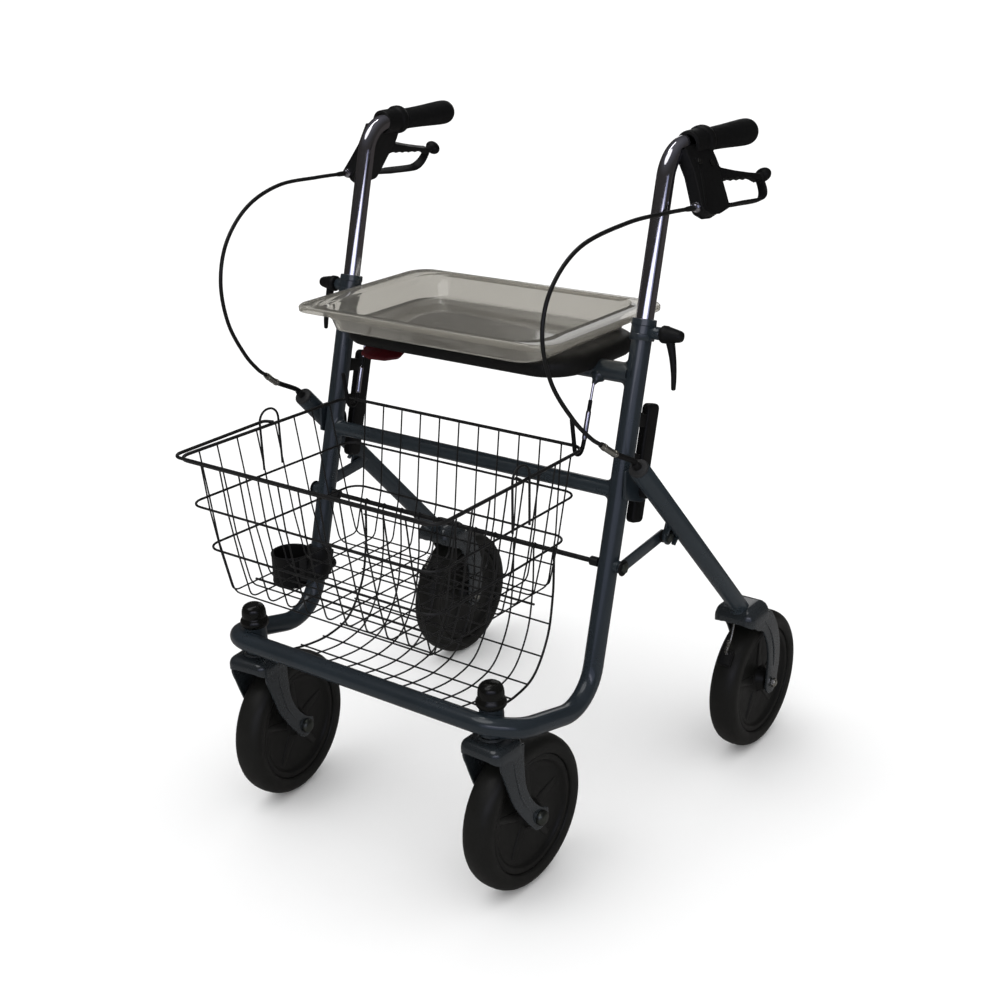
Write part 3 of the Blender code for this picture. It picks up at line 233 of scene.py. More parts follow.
RED = finish_of("red_look", (0.060, 0.004, 0.007), 0.36, patch=40.0, rough_by=0.07, bump=0.10,
                grain=900.0, other=(0.045, 0.003, 0.005), edge=0.3, edge_colour=(0.16, 0.02, 0.02), spec=0.3)
WIRE = finish_of("coated_wire_look", (0.0060, 0.0060, 0.0065), 0.34, patch=60.0, rough_by=0.08, bump=0.15,
                 grain=700.0, other=(0.010, 0.010, 0.010), spec=0.4)
ZINC = finish_of("zinc_look", (0.62, 0.61, 0.55), 0.24, 1.0, other=(0.48, 0.47, 0.42), patch=120.0,
                 rough_by=0.08, bump=0.12, grain=700.0)
OLD_ZINC = finish_of("dull_zinc_look", (0.16, 0.17, 0.15), 0.34, 1.0, other=(0.10, 0.11, 0.10), patch=120.0,
                     rough_by=0.08, bump=0.15, grain=700.0)
CABLE = finish_of("cable_look", (0.0060, 0.0060, 0.0060), 0.36, patch=70.0, rough_by=0.06, bump=0.08,
                  grain=900.0, spec=0.4)
SMOKE = finish_of("smoked_look", (0.45, 0.435, 0.395), 0.06, patch=7.0, rough_by=0.02, other=(0.43, 0.412, 0.372),
                  clear=0.82, ior=1.49, bump2=0.02, grain2=22.0)


# ================================================================ mesh building
class Geo:
    """Points and faces gathered for one piece, with a material number per face."""

    def __init__(self):
        self.v, self.f, self.m = [], [], []

    def add(self, verts, faces, m=0):
        n = len(self.v)
        self.v += [Vector(p) for p in verts]
        self.f += [tuple(i + n for i in f) for f in faces]
        self.m += [m] * len(faces)
        return self

    def moved(self, matrix):
        g = Geo()
        g.v = [matrix @ p for p in self.v]
        g.f, g.m = list(self.f), list(self.m)
        if matrix.determinant() < 0:
            g.f = [tuple(reversed(f)) for f in g.f]
        return g

    def side(self, s):
        return self if s > 0 else self.moved(Matrix.Scale(-1.0, 4, (1, 0, 0)))

    def join(self, other):
        n = len(self.v)
        self.v += other.v
        self.f += [tuple(i + n for i in f) for f in other.f]
        self.m += other.m
        return self


def emit(geo, name, body, nodes=(), looks=(BLACK,), angle=40.0, bevel=0.0, sub=0,
         ride=True):
    """Makes the piece, with its normals out, and lets it ride on its body."""
    mesh = bpy.data.meshes.new(name)
    mesh.from_pydata([tuple(p) for p in geo.v], [], geo.f)
    for look in looks:
        mesh.materials.append(look)
    mesh.polygons.foreach_set("material_index", geo.m)
    bm = bmesh.new()
    bm.from_mesh(mesh)
    bmesh.ops.recalc_face_normals(bm, faces=bm.faces)
    bm.to_mesh(mesh)
    bm.free()
    mesh.shade_smooth()
    mesh.set_sharp_from_angle(angle=math.radians(angle))
    obj = bpy.data.objects.new(name, mesh)
    scene.collection.objects.link(obj)
    if bevel > 0:
        mod = obj.modifiers.new("edges", "BEVEL")
        mod.width = bevel
        mod.segments = 2
        mod.limit_method = "ANGLE"
        mod.angle_limit = math.radians(35)
        mod.harden_normals = False
    if sub:
        mod = obj.modifiers.new("smooth", "SUBSURF")
        mod.levels = mod.render_levels = sub
    if ride:
        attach(obj, body)
    if nodes:
        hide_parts(*nodes)
    return obj


def fillet(points, radii, steps=6):
    path = [Vector(points[0])]
    for i in range(1, len(points) - 1):
        p, a, b = Vector(points[i]), Vector(points[i - 1]), Vector(points[i + 1])
        u, v = (a - p).normalized(), (b - p).normalized()
        half = math.acos(max(-1.0, min(1.0, u.dot(v)))) / 2
        if radii[i - 1] <= 0 or half > math.pi / 2 - 1e-3:
            path.append(p)
            continue
        reach = radii[i - 1] / math.tan(half)
        centre = p + (u + v).normalized() * (radii[i - 1] / math.sin(half))
        start, end = p + u * reach - centre, p + v * reach - centre
        sweep = start.angle(end)
        for k in range(steps + 1):
            t = k / steps
            path.append(centre + (start * math.sin((1 - t) * sweep)
                                  + end * math.sin(t * sweep)) / math.sin(sweep))
    path.append(Vector(points[-1]))
    return path


def ring_fillet(points, radius, steps=5):
    """A closed path with its corners rounded."""
    out, n = [], len(points)
    for i in range(n):
        r = radius[i] if isinstance(radius, (list, tuple)) else radius
        if r <= 0:
            out.append(Vector(points[i]))
            continue
        out += fillet([points[i - 1], points[i], points[(i + 1) % n]], [r], steps)[1:-1]
    return out


def smooth(points, count, closed=False):
    """Evenly spread points on a smooth curve through the given ones."""
    pts = [Vector(p) for p in points]
    if closed:
        pts = [pts[-1]] + pts + [pts[0], pts[1]]
    else:
        pts = [2 * pts[0] - pts[1]] + pts + [2 * pts[-1] - pts[-2]]
    fine = []
    for i in range(1, len(pts) - 2):
        p0, p1, p2, p3 = pts[i - 1:i + 3]
        for k in range(20):
            t = k / 20
            fine.append(0.5 * ((2 * p1) + (p2 - p0) * t
                               + (2 * p0 - 5 * p1 + 4 * p2 - p3) * t * t
                               + (3 * p1 - p0 - 3 * p2 + p3) * t ** 3))
    fine.append(pts[-2])
    return spread(fine, count, closed)


def spread(fine, count, closed=False):
    run = [0.0]
    for a, b in zip(fine, fine[1:]):
        run.append(run[-1] + (b - a).length)
    out, j = [], 0
    for k in range(count):
        want = run[-1] * k / (count if closed else count - 1)
        while j < len(run) - 2 and run[j + 1] < want:
            j += 1
        span = run[j + 1] - run[j] or 1.0
        out.append(fine[j].lerp(fine[j + 1], (want - run[j]) / span))
    return out


def frames(path, closed=False):
    tangents, n = [], len(path)
    for i in range(n):
        a = path[i - 1] if (i or closed) else path[0]
        b = path[(i + 1) % n] if (i < n - 1 or closed) else path[-1]
        d1, d2 = path[i] - a, b - path[i]
        t = (d1.normalized() if d1.length > 1e-9 else Vector()) + (d2.normalized() if d2.length > 1e-9 else Vector())
        tangents.append(t.normalized())
    side = X - tangents[0] * tangents[0].x
    if side.length < 0.3:
        side = Y - tangents[0] * tangents[0].y
    side.normalize()
    out = []
    for i, t in enumerate(tangents):
        if i:
            side = tangents[i - 1].rotation_difference(t) @ side
            side = (side - t * side.dot(t)).normalized()
        out.append((t, side.copy(), t.cross(side)))
    return out


def tube(geo, path, r, sides=12, bore=None, closed=False, m=0, dome=False):
    """A round bar along a path, a tube with a bore, or a closed ring."""
    path = [Vector(p) for p in path]
    n = len(path)
    verts, faces = [], []
    fr = frames(path, closed)

    def rings(rad):
        first = len(verts)
        for i, (p, (t, u, v)) in enumerate(zip(path, fr)):
            k0 = 1.0
            if closed or 0 < i < n - 1:
                bend = (path[i] - path[i - 1]).angle(path[(i + 1) % n] - path[i], 0.0)
                k0 = 1.0 / max(math.cos(bend / 2), 0.7)
            rr = rad[i] if isinstance(rad, (list, tuple)) else rad
            for k in range(sides):
                a = 2 * math.pi * k / sides
                verts.append(p + (u * math.cos(a) + v * math.sin(a)) * rr * (k0 if not closed else 1.0))
        return first

    o = rings(r)
    for i in range(n if closed else n - 1):
        j = (i + 1) % n
        for k in range(sides):
            k2 = (k + 1) % sides
            faces.append((o + i * sides + k, o + i * sides + k2, o + j * sides + k2, o + j * sides + k))
    if closed:
        return geo.add(verts, faces, m)
    if bore is None:
        if dome:
            for i, sgn in ((0, -1), (n - 1, 1)):
                rr = r[i] if isinstance(r, (list, tuple)) else r
                t, u, v = fr[i]
                last = o + i * sides
                for q in (0.5, 0.85):
                    first = len(verts)
                    for k in range(sides):
                        a = 2 * math.pi * k / sides
                        verts.append(path[i] + t * sgn * rr * q * 0.7 + (u * math.cos(a) + v * math.sin(a)) * rr * math.sqrt(1 - q * q))
                    for k in range(sides):
                        k2 = (k + 1) % sides
                        faces.append((last + k, last + k2, first + k2, first + k))
                    last = first
                faces.append(tuple(last + k for k in range(sides)))
        else:
            faces.append(tuple(o + k for k in range(sides)))
            faces.append(tuple(o + (n - 1) * sides + k for k in range(sides)))
    else:
        q = rings(bore)
        for i in range(n - 1):
            for k in range(sides):
                k2 = (k + 1) % sides
                faces.append((q + i * sides + k, q + (i + 1) * sides + k, q + (i + 1) * sides + k2, q + i * sides + k2))
        for ring in (0, (n - 1) * sides):
            for k in range(sides):
                k2 = (k + 1) % sides
                faces.append((o + ring + k, o + ring + k2, q + ring + k2, q + ring + k))
    return geo.add(verts, faces, m)


def rod(geo, a, b, r, sides=16, m=0, bore=None):
    return tube(geo, [Vector(a), Vector(b)], r, sides, bore, m=m)


def lathe(geo, profile, origin, axis, sides=32, m=0):
    """Turns a closed profile of (radius, height) points about an axis."""
    axis = Vector(axis).normalized()
    u = axis.orthogonal().normalized()
    if abs(axis.x) > 0.9:
        u = Y - axis * axis.y
        u.normalize()
    v = axis.cross(u)
    origin = Vector(origin)
    verts, index = [], []
    for r, h in profile:
        if r < 1e-7:
            index.append([len(verts)] * sides)
            verts.append(origin + axis * h)
        else:
            index.append(list(range(len(verts), len(verts) + sides)))
            for k in range(sides):
                a = 2 * math.pi * k / sides
                verts.append(origin + axis * h + (u * math.cos(a) + v * math.sin(a)) * r)
    faces, count = [], len(profile)
    for i in range(count if profile[0][0] > 1e-7 else count - 1):
        j = (i + 1) % count
        for k in range(sides):
            k2 = (k + 1) % sides
            quad = [index[i][k], index[i][k2], index[j][k2], index[j][k]]
            quad = [q for n, q in enumerate(quad) if q not in quad[:n]]
            if len(quad) > 2:
                faces.append(tuple(quad))
    return geo.add(verts, faces, m)


def inset(outline, d):
    """The outline moved inwards by d, for small d."""
    n = len(outline)
    area = sum(outline[i][0] * outline[(i + 1) % n][1] - outline[(i + 1) % n][0] * outline[i][1] for i in range(n))
    sign = 1.0 if area > 0 else -1.0
    out = []
    for i in range(n):
        p, a, b = Vector((*outline[i], 0)), Vector((*outline[i - 1], 0)), Vector((*outline[(i + 1) % n], 0))
        d1, d2 = (p - a), (b - p)
        if d1.length < 1e-9 or d2.length < 1e-9:
            d1 = d2 = d1 if d1.length > d2.length else d2
        n1 = Vector((-d1.y, d1.x, 0)).normalized() * sign
        n2 = Vector((-d2.y, d2.x, 0)).normalized() * sign
        s = n1 + n2
        if s.length < 1e-6:
            s = n1
        s.normalize()
        q = p + s * (d / max(s.dot(n1), 0.5))
        out.append((q.x, q.y))
    return out


def plate(geo, outline, d0, d1, origin, u, v, w, edge=0.0006, steps=2, m=0, hole=None):
    """A flat piece with rounded edges: outline in u, v and thickness d0..d1 along w.
    With a hole, both outlines hold the same number of points."""
    origin, u, v, w = Vector(origin), Vector(u), Vector(v), Vector(w)

    def at(line, d):
        return [origin + u * a + v * b + w * d for a, b in line]

    curve = [(edge * (1 - math.sin(math.pi / 2 * k / steps)), edge * (1 - math.cos(math.pi / 2 * k / steps)))
             for k in range(steps + 1)]
    loops = []
    for i, depth in curve:          # from the face at d0 out to the wall
        pass
    lower = [(edge * (1 - math.sin(math.pi / 2 * k / steps)), d0 + edge * (1 - math.cos(math.pi / 2 * k / steps)))
             for k in range(steps + 1)]
    upper = [(e, d0 + d1 - d) for e, d in reversed(lower)]
    for e, d in lower + upper:
        loops.append(at(inset(outline, e), d))
    n = len(outline)
    verts = [p for loop in loops for p in loop]
    faces = []
    for i in range(len(loops) - 1):
        for k in range(n):
            k2 = (k + 1) % n
            faces.append((i * n + k, i * n + k2, (i + 1) * n + k2, (i + 1) * n + k))
    if hole is None:
        faces.append(tuple(range(n)))
        faces.append(tuple((len(loops) - 1) * n + k for k in range(n)))
        return geo.add(verts, faces, m)
    inner = []
    for e, d in upper[::-1] + lower[::-1]:
        inner.append(at(inset(hole, -e), d))
    base = len(verts)
    verts += [p for loop in inner for p in loop]
    for i in range(len(inner) - 1):
        for k in range(n):
            k2 = (k + 1) % n
            faces.append((base + i * n + k, base + i * n + k2, base + (i + 1) * n + k2, base + (i + 1) * n + k))
    top, low = (len(loops) - 1) * n, 0
    for a, b in ((top, base), (low, base + (len(inner) - 1) * n)):
        for k in range(n):
            k2 = (k + 1) % n
            faces.append((a + k, a + k2, b + k2, b + k))
    return geo.add(verts, faces, m)


def rounded(points, radii, steps=4):
    if not isinstance(radii, (list, tuple)):
        radii = [radii] * len(points)
    pts = ring_fillet([(*p, 0) for p in points], list(radii), steps)
    return [(p.x, p.y) for p in pts]


def box_outline(x0, x1, y0, y1, r, steps=5):
    return rounded([(x0, y0), (x1, y0), (x1, y1), (x0, y1)], r, steps)


def loft(geo, loops, m=0, closed=False, caps=True):
    n, k0 = len(loops[0]), len(loops)
    faces = []
    for i in range(k0 if closed else k0 - 1):
        j = (i + 1) % k0
        for k in range(n):
            k2 = (k + 1) % n
            faces.append((i * n + k, i * n + k2, j * n + k2, j * n + k))
    if caps and not closed:
        faces.append(tuple(range(n)))
        faces.append(tuple((k0 - 1) * n + k for k in range(n)))
    return geo.add([p for loop in loops for p in loop], faces, m)


def hexagon(geo, centre, axis, across, height, m=0):
    """A hexagon head or nut with its corners chamfered, height along axis."""
    axis = Vector(axis).normalized()
    u = Y if abs(axis.y) < 0.9 else Z
    u = (u - axis * u.dot(axis)).normalized()
    v = axis.cross(u)
    r = across / math.sqrt(3)
    line = [(r * math.cos(math.pi / 3 * k), r * math.sin(math.pi / 3 * k)) for k in range(6)]
    return plate(geo, line, 0.0, height, centre, u, v, axis, edge=0.0006, steps=2, m=m)


def weld_ring(geo, path, r=0.0016, m=0):
    """A slightly uneven weld bead along a closed path."""
    n = len(path)
    radii = [r * (1.0 + 0.22 * math.sin(i * 2.4) + 0.1 * math.sin(i * 5.1)) for i in range(n)]
    verts, faces = [], []
    fr = frames(path, True)
    for i, (p, (t, u, v)) in enumerate(zip(path, fr)):
        for k in range(6):
            a = 2 * math.pi * k / 6
            verts.append(p + (u * math.cos(a) + v * math.sin(a)) * radii[i])
    for i in range(n):
        j = (i + 1) % n
        for k in range(6):
            k2 = (k + 1) % 6
            faces.append((i * 6 + k, i * 6 + k2, j * 6 + k2, j * 6 + k))
    return geo.add(verts, faces, m)


# ================================================================ main frame
right_top = at_upright(0.6745)
BEND_Z = LOW_Z + 0.0050
frame_path = fillet([right_top, at_upright(BEND_Z), (HALF_X, BASE_Y, BASE_Z + 0.0035), (-HALF_X, BASE_Y, BASE_Z + 0.0035),
                     at_upright(BEND_Z, -1), at_upright(0.6745, -1)], [0.055, 0.048, 0.048, 0.055], 12)
g = Geo()
tube(g, frame_path, TUBE_R, 40)


def cross_weld(geo, z, radius, s):
    """Hollow weld fillet where a cross tube meets the upright, wide above and below."""
    centre = Vector((0, upright_y(z), z))

    def at(a, ring, extra):
        reach = math.sqrt(max(TUBE_R ** 2 - (ring * math.sin(a)) ** 2, 0.0))
        return (centre + (UP * math.cos(a) + ACROSS * math.sin(a)) * ring
                + X * s * (HALF_X - reach - extra))

    loops = []
    for k in range(48):
        a = 2 * math.pi * k / 48
        wide = 0.0068 * max(math.cos(a) ** 2, 0.14)
        loop = []
        for j in range(6):
            t = math.pi / 2 * j / 5
            loop.append(at(a, radius + wide * (1 - math.cos(t)), wide * (1 - math.sin(t))))
        loop.append(at(a, radius - 0.0008, -0.0008))
        loops.append(loop)
    loft(geo, loops, closed=True)


GUSSET = rounded([(-0.0560, 0.5060), (-0.0400, 0.5060), (-0.0060, 0.4840), (-0.0060, 0.4560),
                  (-0.0200, 0.4550), (-0.0580, 0.4700)], [0.002, 0.008, 0.012, 0.010, 0.012, 0.002], 6)
for tag, s in SIDES:
    cross_weld(g, 0.611, TUBE_R, s)
    cross_weld(g, 0.475, CROSS_R, s)
    # head tube with chamfered rims
    lathe(g, [(0.0070, -0.0180), (0.0140, -0.0180), (0.0150, -0.0170), (0.0150, 0.0100), (0.0146, 0.0130), (0.0146, 0.0186), (0.0140, 0.0192), (0.0070, 0.0192)],
          (s * STEM_X, STEM_Y, 0.2500), Z, 40)
    ring = []
    for k in range(40):
        a = 2 * math.pi * k / 40
        px, py = s * STEM_X + 0.0150 * math.cos(a), STEM_Y + 0.0150 * math.sin(a)
        dy = py - BASE_Y
        if abs(dy) < TUBE_R:
            ring.append(Vector((px, py, BASE_Z + math.sqrt(TUBE_R ** 2 - dy * dy))))
    plate(g, GUSSET, 0.2436, 0.2471, (0, 0, 0), Y * 1, Z, X * s, edge=0.0009, steps=3)
    bead = [(s * 0.2432, upright_y(z) + 0.004, z) for z in (0.470, 0.478, 0.486, 0.494, 0.502)]
    tube(g, smooth(bead, 16), [0.0021 * (1 + 0.15 * math.sin(i * 2.2)) for i in range(16)], 8, dome=True)
    rod(g, (s * 0.2400, STRUT_B.y, STRUT_B.z), (s * 0.2475, STRUT_B.y, STRUT_B.z), 0.0075, 28)
emit(g, "frame_tube_look", "frame", ["frame_tube"], [PAINT])

# cross tubes, with the lugs of the hangers
g = Geo()
tube(g, [(-0.2235, upright_y(0.611), 0.611), (0.2235, upright_y(0.611), 0.611)], TUBE_R, 40)
HANGER_X = 0.182
for tag, s in SIDES:
    # the lug narrows in a hollow curve from the tube to the hanger's rod
    top, low = Vector((s * HANGER_X, -0.0150, 0.6050)), Vector((s * HANGER_X, -0.0258, 0.5972))
    tube(g, [top.lerp(low, t) for t in (0.0, 0.30, 0.48, 0.64, 0.82, 1.0)],
         [0.0098, 0.0090, 0.0066, 0.0048, 0.0036, 0.0029], 24, dome=True)
emit(g, "seat_cross_tube_look", "frame", ["seat_cross_tube"], [PAINT])
g = Geo()
tube(g, [(-0.2240, upright_y(0.475), 0.475), (0.2240, upright_y(0.475), 0.475)], CROSS_R, 36)
emit(g, "lower_cross_tube_look", "frame", ["lower_cross_tube"], [PAINT])

# thin rod with spacer collars
ROD_Y, ROD_Z = upright_y(0.3870), 0.3870
g = Geo()
tube(g, [(-0.2184, ROD_Y, ROD_Z), (0.2184, ROD_Y, ROD_Z)], 0.0032, 16)
for tag, s in SIDES:
    lathe(g, [(0.0032, 0.0), (0.0052, 0.0), (0.0060, 0.0008), (0.0060, 0.0112), (0.0052, 0.0120), (0.0032, 0.0120)],
          (s * 0.2060, ROD_Y, ROD_Z), X * s, 24)
emit(g, "guard_rod_look", "frame", ["guard_rod"], [WIRE])

# wire guard: a panel of wires that hangs on the thin rod and curves forward to the front run
GUARD_W = 0.155
guard_line = smooth([(0, -0.0665, 0.3870), (0, -0.0700, 0.3912), (0, -0.0745, 0.3870), (0, -0.0762, 0.3600),
                     (0, -0.0790, 0.3290), (0, -0.0910, 0.2790), (0, -0.1210, 0.2375), (0, -0.1600, 0.2255),
                     (0, -0.2050, 0.2275), (0, -0.2640, 0.2400)], 46)
g = Geo()
for i in range(11):
    x = -GUARD_W + 2 * GUARD_W * i / 10
    tube(g, [p + X * x for p in guard_line], 0.00115 if 0 < i < 10 else 0.0016, 8)
span = [0.0]
for a, b in zip(guard_line, guard_line[1:]):
    span.append(span[-1] + (b - a).length)
total = span[-1]
for k in range(8):
    want = 0.030 + (total - 0.034) * k / 7
    j = max(i for i in range(len(span)) if span[i] <= want)
    p = guard_line[j].lerp(guard_line[min(j + 1, len(guard_line) - 1)], 0.0)
    a = guard_line[min(j + 1, len(guard_line) - 1)] - guard_line[max(j - 1, 0)]
    nrm = Vector((0, a.z, -a.y)).normalized()
    if nrm.z > 0 or nrm.y < 0:
        pass
    tube(g, [p - X * (GUARD_W + 0.002) + nrm * 0.0021, p + X * (GUARD_W + 0.002) + nrm * 0.0021],
         0.00115 if k < 7 else 0.0016, 8)
emit(g, "lower_wire_guard_look", "frame", ["lower_wire_guard"], [WIRE])

# ================================================================ collars and clamp levers
CLAMP_Y, CLAMP_Z = upright_y(0.661) + 0.001, 0.661
g = Geo()
lathe(g, [(0.0126, 0.0), (0.0146, 0.0), (0.0152, 0.0008), (0.0152, 0.0070), (0.0144, 0.0078), (0.0144, 0.0172),
          (0.0152, 0.0180), (0.0150, 0.0246), (0.0140, 0.0254), (0.0112, 0.0254), (0.0112, 0.0236), (0.0126, 0.0232)],
      at_upright(0.6510), UP, 44)
lathe(g, [(0.0, 0.0), (0.0072, 0.0), (0.0078, 0.0008), (0.0078, 0.0145), (0.0070, 0.0157), (0.0, 0.0157)],
      (0.2402, CLAMP_Y, CLAMP_Z), X, 32)
plate(g, rounded([(-0.0095, -0.0105), (0.0065, -0.0105), (0.0065, 0.0105), (-0.0095, 0.0105)], 0.003), -0.0080, 0.0080,
      (0.2380, CLAMP_Y, CLAMP_Z), X, UP, ACROSS, edge=0.0018, steps=3)
collar = g
g = Geo()
lathe(g, [(0.0, -0.0020), (0.0028, -0.0020), (0.0028, 0.0035), (0.0064, 0.0038), (0.0100, 0.0048), (0.0106, 0.0060),
          (0.0106, 0.0110), (0.0100, 0.0122), (0.0088, 0.0190), (0.0070, 0.0285), (0.0058, 0.0310), (0.0030, 0.0324), (0.0, 0.0326)],
      (0.2532, CLAMP_Y, CLAMP_Z), X, 36)
tube(g, smooth([(0.2665, CLAMP_Y, CLAMP_Z - 0.001), (0.2700, CLAMP_Y - 0.001, CLAMP_Z - 0.012),
                (0.2738, CLAMP_Y - 0.0025, CLAMP_Z - 0.028), (0.2765, CLAMP_Y - 0.0045, CLAMP_Z - 0.046),
                (0.2772, CLAMP_Y - 0.0060, CLAMP_Z - 0.0625)], 14),
     [0.0066, 0.0060, 0.0054, 0.0050, 0.0047, 0.0044, 0.0042, 0.0040, 0.0038, 0.0036, 0.0034, 0.0033, 0.0031, 0.0028],
     18, dome=True)
clamp = g
for tag, s in SIDES:
    emit(collar.side(s), f"clamp_collar_{tag}_look", "frame", [f"clamp_collar_{tag}"], [PAINT])
    emit(clamp.side(s), f"clamp_lever_{tag}_look", f"clamp_lever_{tag}", [f"clamp_lever_{tag}"], [BLACK])

# ================================================================ side pads
g = Geo()
mid = at_upright(0.5070)
line = box_outline(-0.0740, 0.0740, 0.0320, 0.0575, 0.0068, 6)
plate(g, line, 0.2262 - HALF_X, 0.2384 - HALF_X, mid, UP, ACROSS, X, edge=0.0038, steps=5)
for z, tall in ((0.5585, 0.0084), (0.5125, 0.0064)):
    m0 = at_upright(z)
    plate(g, rounded([(-tall - 0.0015, 0.0100), (tall + 0.0015, 0.0100), (tall, 0.0200), (tall, 0.0360), (-tall, 0.0360), (-tall, 0.0200)],
                     [0, 0, 0.006, 0, 0, 0.006], 4), -0.0042, 0.0042, m0, UP, ACROSS, X, edge=0.0012, steps=2)
for tag, s in SIDES:
    emit(g.side(s), f"side_pad_{tag}_look", "frame", [f"side_pad_{tag}"], [BLACK])

# ================================================================ cane cup
CUP = Vector((-0.2745, -0.1045, 0.2520))
g = Geo()
lathe(g, [(0.0, 0.0), (0.0262, 0.0), (0.0280, 0.0014), (0.0286, 0.0050), (0.0282, 0.0080), (0.0282, 0.0420),
          (0.0288, 0.0434), (0.0288, 0.0458), (0.0282, 0.0466), (0.0264, 0.0466), (0.0257, 0.0458), (0.0255, 0.0050), (0.0, 0.0036)],
      CUP, Z, 64)
plate(g, rounded([(0.0225, -0.0130), (0.0345, -0.0105), (0.0345, 0.0105), (0.0225, 0.0130)], [0, 0.002, 0.002, 0]), 0.012, 0.0445,
      CUP + X * 0.0042, X, Y, Z, edge=0.0010)
# small sunk panel moulded in the cup's front
plate(g, box_outline(-0.0045, 0.0045, 0.016, 0.030, 0.002, 4), 0.0270, 0.0286, CUP, (math.cos(math.radians(27)), math.sin(math.radians(27)), 0),
      Z, (math.sin(math.radians(27)), -math.cos(math.radians(27)), 0), edge=0.0010, steps=3)
emit(g, "cane_cup_look", "frame", ["cane_cup"], [BLACK])
g = Geo()
lathe(g, [(0.0127, -0.0225), (0.0160, -0.0225), (0.0169, -0.0214), (0.0170, -0.0060), (0.0165, -0.0052), (0.0165, 0.0052),
          (0.0170, 0.0060), (0.0169, 0.0214), (0.0160, 0.0225), (0.0127, 0.0225)],
      at_upright(0.2900, -1), UP, 48)
plate(g, rounded([(-0.0085, 0.012), (0.0085, 0.012), (0.0085, 0.0215), (-0.0085, 0.0215)], [0, 0, 0.002, 0.002]), -0.0180, 0.0180,
      at_upright(0.2900, -1), X, ACROSS, UP, edge=0.0010)
lathe(g, [(0.0, 0.0), (0.0040, 0.0), (0.0040, 0.0025), (0.0070, 0.0030), (0.0076, 0.0040), (0.0076, 0.0095), (0.0068, 0.0108), (0.0, 0.0112)],
      at_upright(0.2865, -1) + ACROSS * 0.0205, ACROSS, 24)
emit(g, "cane_cup_strap_look", "frame", ["cane_cup_strap"], [BLACK])

# ================================================================ stem caps
cap_profile = [(0.0109, 0.0), (0.0148, 0.0), (0.0168, 0.0010), (0.0184, 0.0034), (0.0188, 0.0058), (0.0184, 0.0082),
               (0.0174, 0.0104), (0.0164, 0.0122), (0.0157, 0.0132), (0.0156, 0.0142), (0.0160, 0.0152), (0.0159, 0.0190),
               (0.0154, 0.0226), (0.0144, 0.0258), (0.0126, 0.0284), (0.0098, 0.0303), (0.0060, 0.0314), (0.0030, 0.0318),
               (0.0, 0.0319), (0.0, 0.0170), (0.0109, 0.0170)]
for tag, s in SIDES:
    g = Geo()
    lathe(g, cap_profile, (s * STEM_X, STEM_Y, 0.2684), Z, 48)
    emit(g, f"stem_cap_{tag}_look", "frame", [f"stem_cap_{tag}"], [GLOSS_BLACK], angle=50)

# ================================================================ basket hangers
g = Geo()
hook = smooth([(HANGER_X, -0.0262, 0.5980), (HANGER_X, -0.0330, 0.5780), (HANGER_X, -0.0420, 0.5500),
               (HANGER_X, -0.0495, 0.5260), (HANGER_X, -0.0570, 0.5168), (HANGER_X, -0.0668, 0.5205),
               (HANGER_X, -0.0700, 0.5380), (HANGER_X, -0.0739, 0.5640)], 44)
fine_hook = smooth(hook, 160)
turn_at = min(range(160), key=lambda i: fine_hook[i].z)
down = fine_hook[:turn_at]
tube(g, hook[:len(hook) // 2], 0.0017, 14, m=0)
tube(g, [p for p in down if 0.5640 < p.z < 0.5775], 0.0026, 16, m=1, dome=True)
tube(g, [p for p in down if 0.5320 < p.z < 0.5645], 0.0032, 20, m=0, dome=True)
tube(g, [p for p in down if p.z <= 0.5330] + fine_hook[turn_at:], 0.0027, 16, m=1, dome=True)
hanger = g
for tag, s in SIDES:
    emit(hanger.side(s), f"basket_hanger_{tag}_look", "frame", [f"basket_hanger_{tag}"], [CHROME, BLACK])

# ================================================================ leg pivot bolts
g = Geo()
rod(g, (0.2400, LEG_PIVOT.y, LEG_PIVOT.z), (0.2690, LEG_PIVOT.y, LEG_PIVOT.z), 0.0049, 20)
hexagon(g, (0.2432, LEG_PIVOT.y, LEG_PIVOT.z), -X, 0.0128, 0.0038)
lathe(g, [(0.0049, 0.0), (0.0078, 0.0), (0.0082, 0.0004), (0.0082, 0.0080), (0.0078, 0.0084), (0.0049, 0.0084)],
      (0.2474, LEG_PIVOT.y, LEG_PIVOT.z), X, 28, m=1)
for tag, s in SIDES:
    emit(g.side(s), f"leg_pivot_bolt_{tag}_look", "frame", [f"leg_pivot_bolt_{tag}"], [ZINC, BLACK])

# ================================================================ seat, red lever and tray
SEAT_TOP, SEAT_LOW = 0.6375, 0.6115


def seat_loop(grow, z, crown=0.0):
    pts = box_outline(-0.1820 - grow, 0.1820 + grow, -0.0900 - grow, 0.1000 + grow, max(0.052 + grow, 0.012), 10)
    return [Vector((a, b, z)) for a, b in pts]


g = Geo()
loops = [seat_loop(-0.012, SEAT_LOW + 0.0004), seat_loop(-0.0050, SEAT_LOW + 0.0010), seat_loop(-0.0012, SEAT_LOW + 0.0045),
         seat_loop(0.0, SEAT_LOW + 0.0100), seat_loop(-0.0006, SEAT_TOP - 0.0090), seat_loop(-0.0030, SEAT_TOP - 0.0045),
         seat_loop(-0.0075, SEAT_TOP - 0.0018), seat_loop(-0.0140, SEAT_TOP - 0.0006), seat_loop(-0.0300, SEAT_TOP - 0.0002)]
loft(g, loops)
